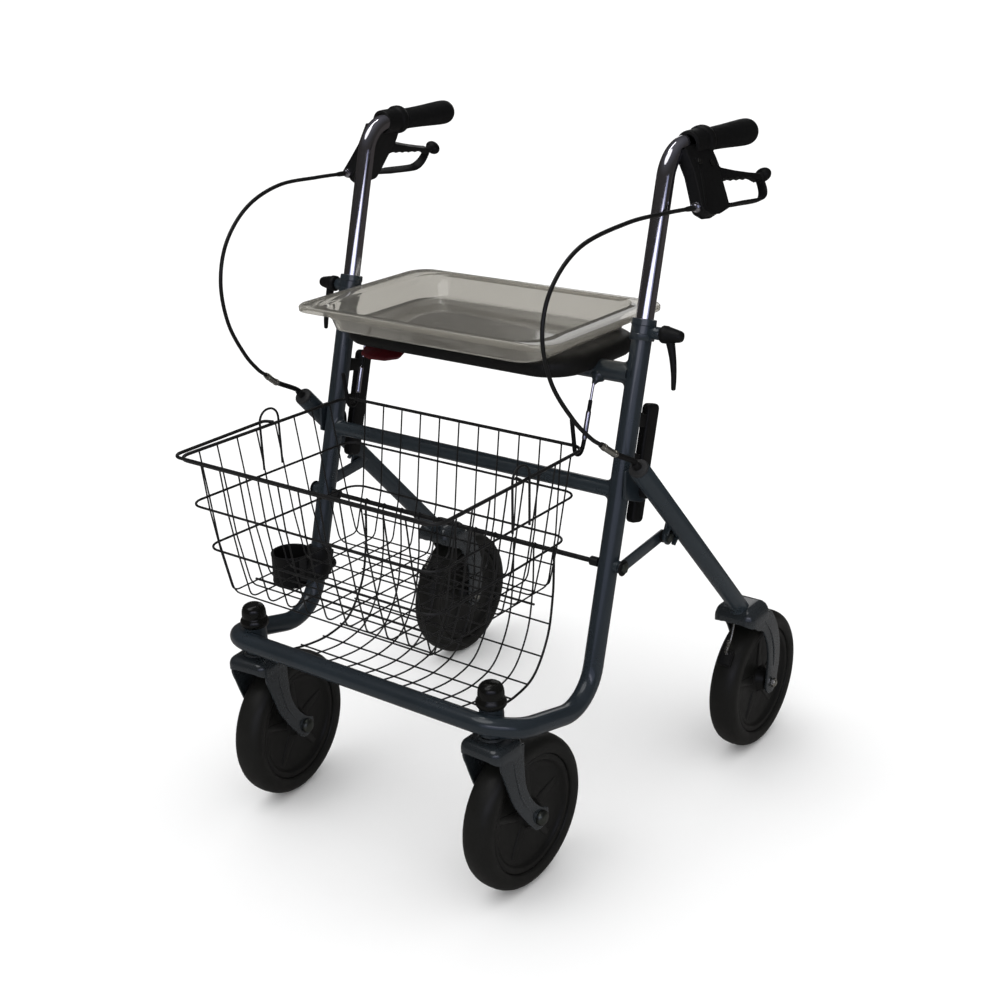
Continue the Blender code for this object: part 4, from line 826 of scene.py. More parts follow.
# moulded ribs below the seat that rest on the cross tube
for x in (-0.120, -0.060, 0.0, 0.060, 0.120):
    plate(g, rounded([(-0.070, SEAT_LOW + 0.002), (-0.024, SEAT_LOW + 0.002), (-0.024, 0.6072), (-0.066, 0.6082)], 0.0008, 2),
          x - 0.0016, x + 0.0016, (0, 0, 0), Y, Z, X, edge=0.0004)
    plate(g, rounded([(0.006, 0.6070), (0.080, 0.6085), (0.084, SEAT_LOW + 0.002), (0.006, SEAT_LOW + 0.002)], 0.0008, 2),
          x - 0.0016, x + 0.0016, (0, 0, 0), Y, Z, X, edge=0.0004)
emit(g, "seat_look", "seat", ["seat"], [SEAT], angle=60)

g = Geo()
red_line = rounded([(-0.1650, -0.0400), (-0.1610, -0.0610), (-0.1420, -0.0655), (-0.1180, -0.0640), (-0.0990, -0.0560),
                    (-0.0990, -0.0290), (-0.1650, -0.0290)], [0.004, 0.006, 0.008, 0.008, 0.005, 0.003, 0.003], 4)
levels = []
for e, lift in ((0.0012, 0.0), (0.0, 0.0010), (0.0, 0.0032), (0.0012, 0.0044)):
    levels.append([Vector((a, b, 0.6045 - 0.46 * max(-0.0330 - b, 0.0) + lift - 0.0022)) for a, b in inset(red_line, e)])
loft(g, levels)
emit(g, "red_release_lever_look", "release_lever", ["red_release_lever"], [RED])

TRAY_Z = 0.6690
FLOOR_Z = 0.6379
W = 0.0024


def tray_loop(x, y0, y1, r, z, steps=9):
    return [Vector((a, b, z)) for a, b in box_outline(-x, x, y0, y1, r, steps)]


g = Geo()
up_side = [(0.1500, -0.1140, 0.0850, 0.020, FLOOR_Z + W), (0.1540, -0.1180, 0.0890, 0.024, FLOOR_Z + W + 0.0004),
           (0.1572, -0.1212, 0.0922, 0.027, FLOOR_Z + W + 0.0024), (0.1614, -0.1258, 0.0967, 0.030, TRAY_Z - 0.0140),
           (0.1630, -0.1274, 0.0983, 0.031, TRAY_Z - 0.0128), (0.1656, -0.1308, 0.1016, 0.033, TRAY_Z - 0.0030),
           (0.1672, -0.1322, 0.1030, 0.034, TRAY_Z - 0.0006), (0.1698, -0.1342, 0.1048, 0.035, TRAY_Z + 0.0006),
           (0.1960, -0.1405, 0.1125, 0.026, TRAY_Z + 0.0006), (0.1995, -0.1440, 0.1155, 0.028, TRAY_Z + 0.0000),
           (0.2010, -0.1458, 0.1168, 0.029, TRAY_Z - 0.0018), (0.2010, -0.1460, 0.1170, 0.030, TRAY_Z - 0.0062)]
down_side = [(0.1994, -0.1444, 0.1154, 0.0285, TRAY_Z - 0.0062), (0.1988, -0.1436, 0.1148, 0.028, TRAY_Z - 0.0028),
             (0.1970, -0.1418, 0.1132, 0.027, TRAY_Z - 0.0017), (0.1696, -0.1362, 0.1066, 0.036, TRAY_Z - 0.0017),
             (0.1684, -0.1344, 0.1046, 0.035, TRAY_Z - 0.0034), (0.1650, -0.1296, 0.1004, 0.033, TRAY_Z - 0.0146),
             (0.1634, -0.1280, 0.0988, 0.032, TRAY_Z - 0.0160), (0.1594, -0.1236, 0.0944, 0.029, FLOOR_Z + 0.0022),
             (0.1550, -0.1194, 0.0900, 0.025, FLOOR_Z + 0.0002), (0.1500, -0.1140, 0.0850, 0.020, FLOOR_Z)]
loft(g, [tray_loop(*row) for row in up_side + down_side])
emit(g, "tray_look", "tray", ["tray"], [SMOKE], angle=60)

# ================================================================ basket of wire
LEVELS = [(0.3500, 0.1600, 0.1560, -0.3225, -0.0930), (0.4100, 0.1790, 0.1720, -0.3370, -0.0750),
          (0.4680, 0.1890, 0.1820, -0.3480, -0.0680), (RIM_Z, 0.2000, 0.1920, -0.3550, -0.0600)]
FINE, MID, THICK = 0.00105, 0.0015, 0.0021


def wall(z):
    """Half-widths and ends of the basket at a height."""
    for lo, hi in zip(LEVELS, LEVELS[1:]):
        if z <= hi[0] or hi is LEVELS[-1]:
            t = (z - lo[0]) / (hi[0] - lo[0])
            return [a + (b - a) * t for a, b in zip(lo[1:], hi[1:])]


def basket_ring(z, grow, r):
    front, rear, y0, y1 = wall(z)
    return ring_fillet([(-front - grow, y0 - grow, z), (front + grow, y0 - grow, z),
                        (rear + grow, y1 + grow, z), (-rear - grow, y1 + grow, z)], r, 6)


g = Geo()
tube(g, basket_ring(RIM_Z, 0.0, 0.019), THICK, 12, closed=True)
tube(g, basket_ring(0.4680, 0.0022, 0.019), MID, 10, closed=True)
tube(g, basket_ring(0.4100, 0.0022, 0.020), MID, 10, closed=True)
FLOOR = 0.3500
for i in range(11):
    x = -0.1575 + 0.0315 * i
    f = [(x, wall(z)[2], z) for z in (RIM_Z, 0.468, 0.410)]
    r = [(x, wall(z)[3], z) for z in (0.410, 0.468, RIM_Z)]
    path = fillet(f + [(x, -0.3225, FLOOR), (x, -0.0930, FLOOR)] + r, [0.0, 0.0, 0.012, 0.012, 0.0, 0.0], 4)
    tube(g, path, FINE, 7)
for j in range(8):
    y = -0.3235 + 0.0330 * j

    def across(z):
        front, rear, y0, y1 = wall(z)
        t = (y - y0) / (y1 - y0)
        return front + (rear - front) * t

    if j == 0:
        y += 0.004
    sides_ = [(-across(z), y, z) for z in (RIM_Z, 0.468, 0.410)]
    path = fillet(sides_ + [(-0.1585, y, FLOOR - 0.0021), (0.1585, y, FLOOR - 0.0021)]
                  + [(-p[0], p[1], p[2]) for p in reversed(sides_)], [0.0, 0.0, 0.012, 0.012, 0.0, 0.0], 4)
    tube(g, path, FINE, 7)
for y in (-0.272, -0.140):
    tube(g, [(-0.170, y, FLOOR - 0.0048), (0.170, y, FLOOR - 0.0048)], MID, 10)
HOOP_Y = -0.2000
for s in (1, -1):
    x = s * 0.1965
    hoop = fillet([(x, HOOP_Y - 0.0165, 0.470), (x + s * 0.0015, HOOP_Y - 0.0165, 0.5470), (x + s * 0.0015, HOOP_Y + 0.0165, 0.5470),
                   (x, HOOP_Y + 0.0165, 0.470)], [0.0155, 0.0155], 8)
    tube(g, hoop, MID, 10)
emit(g, "basket_look", "basket", ["basket"], [WIRE])

g = Geo()
BX, BY = 0.2030, -0.3580
bail = fillet([(-BX + 0.012, HOOP_Y, RIM_Z + 0.0045), (-BX, HOOP_Y - 0.004, RIM_Z + 0.0045), (-BX - 0.0005, BY, RIM_Z + 0.0030),
               (BX + 0.0005, BY, RIM_Z + 0.0030), (BX, HOOP_Y - 0.004, RIM_Z + 0.0045), (BX - 0.012, HOOP_Y, RIM_Z + 0.0045)],
              [0.006, 0.014, 0.014, 0.006], 7)
tube(g, bail, THICK, 12, dome=True)
emit(g, "basket_handle_look", "basket_handle", ["basket_handle"], [WIRE])

# ================================================================ handles
GRIP_A = Vector((HALF_X, upright_y(0.8688), 0.8688))
GRIP_B = Vector((0.2405, 0.2380, 0.8665))
grip_dir = (GRIP_B - GRIP_A).normalized()
handle_path = fillet([at_upright(0.5420), GRIP_A, GRIP_B - grip_dir * 0.008], [0.045], 18)
g = Geo()
tube(g, handle_path, HANDLE_R, 44, HANDLE_R - 0.0013)
chrome = g
grip_len = 0.107
grip_start = GRIP_B - grip_dir * (grip_len - 0.002)
g = Geo()
grip_profile = [(0.0112, 0.0), (0.0130, 0.0), (0.0137, 0.0008), (0.0138, 0.0060), (0.0138, 0.0150), (0.0140, 0.0250),
                (0.0145, 0.0420), (0.0152, 0.0580), (0.0159, 0.0730), (0.0164, 0.0850), (0.0165, 0.0930), (0.0162, 0.0980),
                (0.0154, 0.1018), (0.0140, 0.1046), (0.0118, 0.1061), (0.0060, 0.1069),
                (0.0, 0.1071), (0.0, 0.0980), (0.0112, 0.0980)]
lathe(g, grip_profile, grip_start, grip_dir, 48)
grip = g
O = Vector((0.2370, 0.1150, 0.8682))
D = Vector((math.sin(TILT), 0.0, -math.cos(TILT)))
N = Vector((math.cos(TILT), 0.0, math.sin(TILT)))
adj = O - Y * 0.058 + D * 0.0735

g = Geo()
HOUSE = rounded([(0.0105, 0.004), (0.0125, 0.024), (0.0120, 0.034), (0.0060, 0.054), (0.0020, 0.072), (-0.0020, 0.0865),
                 (-0.0280, 0.0900), (-0.0465, 0.0880), (-0.0615, 0.0785), (-0.0545, 0.060), (-0.0465, 0.036), (-0.0450, 0.004)],
                [0.0, 0.005, 0.006, 0.012, 0.010, 0.007, 0.010, 0.007, 0.006, 0.012, 0.012, 0.0], 5)
plate(g, HOUSE, -0.0086, -0.0060, O, Y, D, N, edge=0.0020, steps=4)
plate(g, HOUSE, 0.0060, 0.0086, O, Y, D, N, edge=0.0020, steps=4)
# the closed part round the lever's slot
CORE = rounded([(-0.0165, 0.006), (-0.0165, 0.086), (-0.0280, 0.0888), (-0.0460, 0.0868), (-0.0602, 0.0778), (-0.0535, 0.060),
                (-0.0455, 0.036), (-0.0435, 0.006)], [0.001, 0.001, 0.004, 0.006, 0.005, 0.010, 0.010, 0.001], 4)
plate(g, CORE, -0.0072, 0.0072, O, Y, D, N, edge=0.0002, steps=1)
TOP = rounded([(0.0115, 0.006), (0.0118, 0.0190), (-0.0200, 0.0195), (-0.0200, 0.006)], [0.001, 0.002, 0.001, 0.001], 2)
plate(g, TOP, -0.0072, 0.0072, O, Y, D, N, edge=0.0002, steps=1)
# raised rib on the outer face
plate(g, rounded([(-0.0360, 0.020), (-0.0325, 0.020), (-0.0335, 0.040), (-0.0450, 0.064), (-0.0535, 0.0780), (-0.0560, 0.0765),
                  (-0.0485, 0.062), (-0.0375, 0.038)], 0.001, 2), 0.0080, 0.0096, O, Y, D, N, edge=0.0006)
lathe(g, [(0.0113, -0.0235), (0.0146, -0.0235), (0.0155, -0.0226), (0.0158, -0.0180), (0.0158, 0.0010), (0.0164, 0.0030),
          (0.0178, 0.0040), (0.0186, 0.0056), (0.0187, 0.0110), (0.0182, 0.0136), (0.0168, 0.0152), (0.0148, 0.0160), (0.0113, 0.0160)],
      O, Y, 56)
# pinch bolt below the ring and the lever's pivot screw
hexagon(g, O + D * 0.0250 + N * 0.0084 - Y * 0.0300, N, 0.0075, 0.0024, m=1)
lathe(g, [(0.0, 0.0), (0.0036, 0.0), (0.0040, 0.0005), (0.0040, 0.0014), (0.0032, 0.0020), (0.0, 0.0021)],
      O - Y * 0.0035 + D * 0.030 + N * 0.0085, N, 20, m=1)
# cable adjuster with its knurled nut
lathe(g, [(0.0, 0.0060), (0.0044, 0.0060), (0.0044, -0.0010), (0.0058, -0.0014), (0.0060, -0.0020), (0.0060, -0.0072),
          (0.0056, -0.0080), (0.0038, -0.0086), (0.0036, -0.0120), (0.0, -0.0120)], adj + Y * 0.0030, Y, 30, m=2)
for k in range(18):
    a = 2 * math.pi * k / 18
    off = (X * math.cos(a) + Z * math.sin(a)) * 0.0060
    rod(g, adj + Y * 0.0008 + off, adj - Y * 0.0040 + off, 0.0005, 6, m=2)
housing = g

g = Geo()
PIV = O - Y * 0.0035 + D * 0.0300
# root, upper bar with finger scallops below
scallop = []
for k in range(33):
    t = k / 32
    y = 0.0140 + (0.0860 - 0.0140) * t
    d = 0.0520 + (0.0605 - 0.0520) * t - 0.0014 * abs(math.sin(math.pi * 5 * t))
    scallop.append((y, d))
bar = [(-0.0100, 0.0235), (0.0020, 0.0225), (0.0120, 0.0290), (0.0210, 0.0375), (0.0500, 0.0455), (0.0800, 0.0525),
       (0.1000, 0.0565), (0.1080, 0.0600), (0.1040, 0.0660), (0.0950, 0.0655)]
bar += list(reversed(scallop))
bar += [(0.0080, 0.0540), (0.0040, 0.0620), (0.0020, 0.0760), (-0.0060, 0.0800), (-0.0115, 0.0700)]
bar = [(p[0], p[1]) for p in bar]
plate(g, bar, -0.0048, 0.0048, O, Y, D, N, edge=0.0016, steps=4)
band = smooth([(0, 0.1050, 0.0600), (0, 0.1046, 0.0700), (0, 0.1010, 0.0800), (0, 0.0920, 0.0868), (0, 0.0780, 0.0878),
               (0, 0.0400, 0.0850), (0, 0.0080, 0.0826), (0, -0.0060, 0.0790)], 40)
loops = []
for i, p in enumerate(band):
    a, b = band[max(i - 1, 0)], band[min(i + 1, len(band) - 1)]
    t = (b - a).normalized()
    nrm = Vector((0, -t.z, t.y))
    half = 0.0056 + 0.0012 * min(i / 8, 1.0)
    if i > 28:
        half = 0.0068 - 0.0016 * min((i - 28) / 5, 1.0)
    thick = 0.0020
    sec = []
    for q in range(12):
        ang = 2 * math.pi * q / 12
        cx, sx = math.cos(ang), math.sin(ang)
        sec.append((math.copysign(abs(cx) ** 0.45, cx) * half, math.copysign(abs(sx) ** 0.6, sx) * thick))
    centre = O + Y * p.y + D * p.z
    loops.append([centre + N * a1 + (Y * nrm.y + D * nrm.z) * b1 for a1, b1 in sec])
loft(g, loops)
ball_c = O + Y * 0.1180 + D * 0.0600
lathe(g, [(0.0, -0.0112)] + [(0.0086 * math.sin(math.pi * k / 14), -0.0112 * math.cos(math.pi * k / 14)) for k in range(1, 14)] + [(0.0, 0.0112)],
      ball_c, N, 36)
tube(g, [O + Y * 0.100 + D * 0.0625, O + Y * 0.112 + D * 0.0608], [0.0046, 0.0052], 20)
lever = g

for tag, s in SIDES:
    emit(chrome.side(s), f"handle_tube_{tag}_look", f"handle_{tag}", [f"handle_tube_{tag}"], [CHROME])
    emit(grip.side(s), f"grip_{tag}_look", f"handle_{tag}", [f"grip_{tag}"], [GRIP], angle=60)
    emit(housing.side(s), f"brake_housing_{tag}_look", f"handle_{tag}", [f"brake_housing_{tag}"], [BLACK, GLOSS_BLACK, CHROME], angle=42)
    emit(lever.side(s), f"brake_lever_{tag}_look", f"brake_lever_{tag}", [f"brake_lever_{tag}"], [BLACK], angle=50)

# ================================================================ rear legs
leg_top = Vector((LEG_X, leg_y(0.5150), 0.5150))
leg_low = Vector((LEG_X, leg_y(0.2270), 0.2270))
g = Geo()
tube(g, [leg_top, leg_top + LEG_DIR * 0.0008, leg_low], [TUBE_R - 0.0006, TUBE_R, TUBE_R], 40)
lug_out = Vector((0.0, LEG_DIR.z, -LEG_DIR.y))
plate(g, rounded([(-0.018, -0.0145), (0.018, -0.0145), (0.009, 0.0085), (-0.009, 0.0085)], [0.0, 0.0, 0.0085, 0.0085], 6),
      0.2565, 0.2603, STRUT_C, LEG_DIR, lug_out, X, edge=0.0008, steps=3)
# folded flanges that make the lug a C, seen from its end
for q in (-0.0135, 0.0135):
    plate(g, [(-0.0017, -0.0120), (0.0017, -0.0120), (0.0017, 0.0030), (-0.0017, 0.0030)], 0.2600, 0.2655,
          STRUT_C + LEG_DIR * q, LEG_DIR, lug_out, X, edge=0.0007, steps=2)
hexagon(g, (0.2603, STRUT_C.y, STRUT_C.z), X, 0.0118, 0.0040, m=1)
ring = []
for k in range(44):
    a = 2 * math.pi * k / 44
    side_v = LEG_DIR.cross(X)
    off = (X * math.cos(a) + side_v * math.sin(a)) * TUBE_R
    base = Vector((LEG_X, leg_y(CROWN_TOP), CROWN_TOP)) + off
    ring.append(base - LEG_DIR * ((base.z - CROWN_TOP) / LEG_DIR.z))
weld_ring(g, ring, 0.0019)
leg = g
CABLE_END = Vector((0.2632, -0.1365, 0.5660))
CABLE_DIR = Vector((0.152, 0.795, -0.587)).normalized()
g = Geo()
axis = -LEG_DIR
lathe(g, [(0.0, -0.0120), (0.0100, -0.0120), (0.0100, 0.0002), (0.0116, 0.0003), (0.0122, 0.0010), (0.0122, 0.0024),
          (0.0114, 0.0036), (0.0070, 0.0042), (0.0052, 0.0060), (0.0, 0.0062)],
      leg_top, axis, 36, m=2)
lathe(g, [(0.0, 0.0), (0.0056, 0.0), (0.0052, 0.0060), (0.0042, 0.0120), (0.0, 0.0130)], leg_top - LEG_DIR * 0.0030, axis, 28)
sleeve = smooth([CABLE_END, CABLE_END + CABLE_DIR * 0.028, leg_top - LEG_DIR * 0.020, leg_top - LEG_DIR * 0.006], 30)
tube(g, sleeve, 0.0034, 16)
tube(g, sleeve[:12], [0.0034] + [0.0040] * 10 + [0.0034], 18, m=1)
for i in (2, 9):
    tube(g, sleeve[i:i + 2], [0.0045, 0.0045], 18, m=1)
cap = g


def fork_geo(centre, swivel, stem):
    """Pressed fork: crown shell with rounded shoulders, and two swept arms."""
    g = Geo()
    trail = TRAIL if stem else REAR_TRAIL
    nose = -0.0290 if stem else -0.0340

    def shell(grow, z_top=None, low=False, lift=0.0):
        out = []
        for a, b in box_outline(-0.0288 - grow, 0.0288 + grow, nose - grow, 0.0250 + grow, max(0.0120 + grow, 0.0012), 7):
            if low:
                side = min(1.0, abs(a) / 0.0288)
                arch = 0.0072 * max(0.0, 1.0 - side ** 2.2)
                z = 0.2078 + arch + (0.004 if b > 0.0 else 0.0) * (1 - side) + lift
            else:
                z = z_top
            out.append(Vector((a, b, z)))
        return out

    rise = 0.0 if stem else 0.0062
    loops = [shell(-0.0170, CROWN_TOP + rise), shell(-0.0120, CROWN_TOP + rise - 0.0004), shell(-0.0078, CROWN_TOP + rise * 0.8 - 0.0010),
             shell(-0.0044, CROWN_TOP + rise * 0.55 - 0.0026), shell(-0.0018, CROWN_TOP + rise * 0.2 - 0.0052),
             shell(-0.0003, CROWN_TOP - 0.0085), shell(0.0002, CROWN_TOP - 0.0115), shell(0.0002, low=True),
             shell(-0.0008, low=True, lift=-0.0008), shell(-0.0028, low=True, lift=0.0002), shell(-0.0030, 0.2240), shell(-0.0130, 0.2245)]
    loft(g, loops)
    if stem:
        front_edge = smooth([(0, -0.0180, 0.2200), (0, -0.0185, 0.2110), (0, -0.0215, 0.2060), (0, -0.0195, 0.1960), (0, -0.0160, 0.1880),
                             (0, -0.0085, 0.1680), (0, 0.0015, 0.1440), (0, 0.0172, 0.1200), (0, 0.0375, 0.0940)], 32)
        back_edge = smooth([(0, 0.0702, 0.1060), (0, 0.0610, 0.1108), (0, 0.0515, 0.1175), (0, 0.0358, 0.1370), (0, 0.0262, 0.1580),
                            (0, 0.0232, 0.1800), (0, 0.0226, 0.2050), (0, 0.0235, 0.2180)], 26)
        middle = [(0.0020, 0.2000), (0.0085, 0.1700), (0.0185, 0.1420), (0.0370, 0.1160)]
        first = 222
    else:
        front_edge = smooth([(0, -0.0230, 0.2200), (0, -0.0235, 0.2120), (0, -0.0240, 0.2080), (0, -0.0120, 0.1995), (0, 0.0020, 0.1935),
                             (0, 0.0125, 0.1790), (0, 0.0205, 0.1600), (0, 0.0235, 0.1380), (0, 0.0205, 0.1060)], 32)
        back_edge = smooth([(0, 0.0530, 0.1060), (0, 0.0572, 0.1250), (0, 0.0572, 0.1500), (0, 0.0525, 0.1720), (0, 0.0435, 0.1930),
                            (0, 0.0330, 0.2080), (0, 0.0245, 0.2180)], 26)
        middle = [(0.0060, 0.2080), (0.0250, 0.1850), (0.0375, 0.1550), (0.0395, 0.1250)]
        first = 186
    arc = [(trail + 0.0166 * math.cos(math.radians(d)), WHEEL_R + 0.0166 * math.sin(math.radians(d)))
           for d in range(first, 372, 15)]
    outline = [(p.y, p.z) for p in front_edge] + arc + [(p.y, p.z) for p in back_edge]
    for s in (1, -1):
        plate(g, outline, 0.0248, 0.0284, (0, 0, 0), Y, Z, X * s, edge=0.0012, steps=4)
        # pressed ridge along the arm
        ridge = smooth([(s * 0.0283, *p) for p in middle], 18)
        tube(g, ridge, [0.0006 + 0.0009 * math.sin(math.pi * (i + 0.5) / 18) for i in range(18)], 10, dome=True)
    if stem:
        lathe(g, [(0.0, 0.0), (0.0165, 0.0), (0.0170, 0.0006), (0.0152, 0.0030), (0.0, 0.0034)], (0, 0, CROWN_TOP - 0.0002), Z, 40)
        rod(g, (0, 0, 0.2280), (0, 0, 0.2745), 0.0060, 20)
    # the arms stand a little apart at the crown and come in towards the axle
    for p in g.v:
        if abs(p.x) > 0.016:
            t = min(max((p.z - 0.105) / 0.070, 0.0), 1.0)
            spread = 0.0015 * t * t * (3 - 2 * t) if stem else 0.0020
            p.x += math.copysign(spread * min((abs(p.x) - 0.016) / 0.008, 1.0), p.x)
    turn = Matrix.Translation((centre[0], centre[1], 0)) @ Matrix.Rotation(math.radians(-swivel), 4, "Z")
    return g.moved(turn)


def wheel_geo(hub, swivel, capped):
    """Tyre, core and axle bolt, each its own gathering, at the hub with the wheel's axis along X."""
    place = Matrix.Translation(hub) @ Matrix.Rotation(math.radians(-swivel), 4, "Z")
    tyre = Geo()
    half = [(0.0770, 0.0172), (0.0778, 0.0186), (0.0800, 0.0196), (0.0830, 0.0203), (0.0862, 0.0205), (0.0895, 0.0201),
            (0.0925, 0.0188), (0.0952, 0.0166), (0.0974, 0.0136), (0.0989, 0.0098), (0.0997, 0.0052)]
    profile = [(r, -h) for r, h in half] + [(0.1000, 0.0)] + [(r, h) for r, h in reversed(half)]
    lathe(tyre, profile, (0, 0, 0), X, 96)
    core = Geo()
    face = [(0.0052, 0.0236), (0.0110, 0.0236), (0.0130, 0.0232), (0.0142, 0.0222), (0.0166, 0.0140), (0.0190, 0.0112), (0.0220, 0.0098),
            (0.0300, 0.0092), (0.0560, 0.0098), (0.0630, 0.0108), (0.0662, 0.0122), (0.0680, 0.0142), (0.0690, 0.0155), (0.0704, 0.0162),
            (0.0745, 0.0164), (0.0762, 0.0160), (0.0762, 0.0130)]
    profile = [(r, -h) for r, h in face] + [(r, h) for r, h in reversed(face)]
    lathe(core, profile, (0, 0, 0), X, 80)
    for s in (1, -1):
        for k in range(5):
            a = 2 * math.pi * k / 5 + 0.35
            u = Y * math.cos(a) + Z * math.sin(a)
            v = -Y * math.sin(a) + Z * math.cos(a)
            rib = rounded([(0.0150, -0.0075), (0.0640, -0.0045), (0.0640, 0.0045), (0.0150, 0.0075)], [0, 0.001, 0.001, 0], 3)
            plate(core, rib, 0.0070, 0.0106, (0, 0, 0), u, v, X * s, edge=0.0013, steps=3)
    bolt = Geo()
    rod(bolt, (-0.032, 0, 0), (0.032, 0, 0), 0.0043, 18)
    for s in (1, -1):
        lathe(bolt, [(0.0, 0.0), (0.0080, 0.0), (0.0082, 0.0003), (0.0080, 0.0012), (0.0, 0.0012)], (s * 0.0287, 0, 0), X * s, 28)
        if capped:
            lathe(bolt, [(0.0, 0.0), (0.0098, 0.0), (0.0100, 0.0008), (0.0096, 0.0040), (0.0075, 0.0062), (0.0040, 0.0072), (0.0, 0.0075)],
                  (s * 0.0287, 0, 0), X * s, 32)
            continue
        hexagon(bolt, (s * 0.0312, 0, 0), X * s, 0.0118, 0.0044)
        lathe(bolt, [(0.0, 0.0), (0.0048, 0.0), (0.0044, 0.0012), (0.0030, 0.0020), (0.0, 0.0022)], (s * 0.0354, 0, 0), X * s, 20)
    return tyre.moved(place), core.moved(place), bolt.moved(place)


for tag, s in SIDES:
    psi = math.radians(SWIVEL[tag])
    emit(fork_geo((s * STEM_X, STEM_Y), SWIVEL[tag], True), f"front_fork_{tag}_look", f"caster_{tag}", [f"front_fork_{tag}"], [FORK_PAINT], angle=45)
    hub = Vector((s * STEM_X + TRAIL * math.sin(psi), STEM_Y + TRAIL * math.cos(psi), WHEEL_R))
    tyre, core, bolt = wheel_geo(hub, SWIVEL[tag], True)
    emit(tyre, f"front_tyre_{tag}_look", f"front_wheel_{tag}", [f"front_tyre_{tag}"], [TYRE], angle=60)
    emit(core, f"front_rim_{tag}_look", f"front_wheel_{tag}", [f"front_rim_{tag}"], [RIM])
    emit(bolt, f"front_axle_bolt_{tag}_look", f"caster_{tag}", [f"front_axle_bolt_{tag}"], [OLD_ZINC])
    emit(fork_geo((s * REAR_X, REAR_Y - REAR_TRAIL), 0.0, False), f"rear_fork_{tag}_look", f"leg_{tag}", [f"rear_fork_{tag}"], [FORK_PAINT], angle=45)
    tyre, core, bolt = wheel_geo(Vector((s * REAR_X, REAR_Y, WHEEL_R)), 0.0, False)
    emit(tyre, f"rear_tyre_{tag}_look", f"rear_wheel_{tag}", [f"rear_tyre_{tag}"], [TYRE], angle=60)
    emit(core, f"rear_rim_{tag}_look", f"rear_wheel_{tag}", [f"rear_rim_{tag}"], [RIM])
    emit(bolt, f"rear_axle_bolt_{tag}_look", f"leg_{tag}", [f"rear_axle_bolt_{tag}"], [ZINC])
    emit(leg.side(s), f"rear_leg_{tag}_look", f"leg_{tag}", [f"rear_leg_{tag}"], [PAINT, OLD_ZINC])
    emit(cap.side(s), f"leg_cap_{tag}_look", f"leg_{tag}", [f"leg_cap_{tag}"], [BLACK, ZINC, GREY])

# ================================================================ folding struts
B, C = STRUT_B, STRUT_C
run = (C - B).normalized()
cross = Vector((0, -run.z, run.y))
length = (C - B).length
line = [(length + 0.0078 * math.cos(math.radians(a)), 0.0078 * math.sin(math.radians(a))) for a in range(-90, 91, 12)]
line += [(0.0078 * math.cos(math.radians(a)), 0.0078 * math.sin(math.radians(a))) for a in range(90, 271, 12)]
g = Geo()
plate(g, line, 0.2479, 0.2516, B, run, cross, X, edge=0.0008, steps=3)
lathe(g, [(0.0, 0.0), (0.0098, 0.0), (0.0102, 0.0004), (0.0102, 0.0014), (0.0096, 0.0019), (0.0, 0.0019)], (0.2514, B.y, B.z), X, 32, m=2)
hexagon(g, (0.2530, B.y, B.z), X, 0.0122, 0.0034, m=1)
lathe(g, [(0.0, 0.0), (0.0078, 0.0), (0.0082, 0.0004), (0.0082, 0.0032), (0.0078, 0.0036), (0.0, 0.0036)], (0.2512, C.y, C.z), X, 28, m=2)
rod(g, (0.2540, C.y, C.z), (0.2558, C.y, C.z), 0.0050, 20, m=1)
for tag, s in SIDES:
    emit(g.side(s), f"strut_{tag}_look", f"strut_{tag}", [f"strut_{tag}"], [PAINT, OLD_ZINC, BLACK])

# ================================================================ brake shoes
d38 = math.radians(38)
shoe_dir = Vector((0.0, -math.cos(d38), math.sin(d38)))
tangent = Vector((0.0, math.sin(d38), math.cos(d38)))
pivot = Vector((REAR_X, 0.1990, 0.2140))
mid = Vector((REAR_X, REAR_Y, WHEEL_R)) + shoe_dir * (WHEEL_R + 0.0065)
g = Geo()
plate(g, box_outline(-0.0090, 0.0090, -0.0112, 0.0112, 0.002, 3), -0.0034, 0.0010, mid, X, tangent, shoe_dir, edge=0.0008, m=1)
plate(g, box_outline(-0.0080, 0.0080, -0.0105, 0.0105, 0.002, 3), 0.0010, 0.0038, mid, X, tangent, shoe_dir, edge=0.0006, m=1)
wire = smooth([pivot, (REAR_X, 0.1952, 0.2010), (REAR_X, 0.1880, 0.1850), mid + shoe_dir * 0.0035 + tangent * 0.004], 16)
tube(g, wire, 0.0013, 12)
coil = []
for k in range(90):
    t = k / 89
    p = pivot.lerp(mid + shoe_dir * 0.0035, 0.55 + 0.36 * t)
    a = 2 * math.pi * 7 * t
    coil.append(p + X * (0.0024 * math.cos(a)) + shoe_dir * (0.0024 * math.sin(a)))
tube(g, coil, 0.0005, 6)
rod(g, pivot - X * 0.012, pivot + X * 0.012, 0.0034, 20)
for tag, s in SIDES:
    emit(g.side(s), f"brake_shoe_{tag}_look", f"brake_shoe_{tag}", [f"brake_shoe_{tag}"], [ZINC, BLACK])

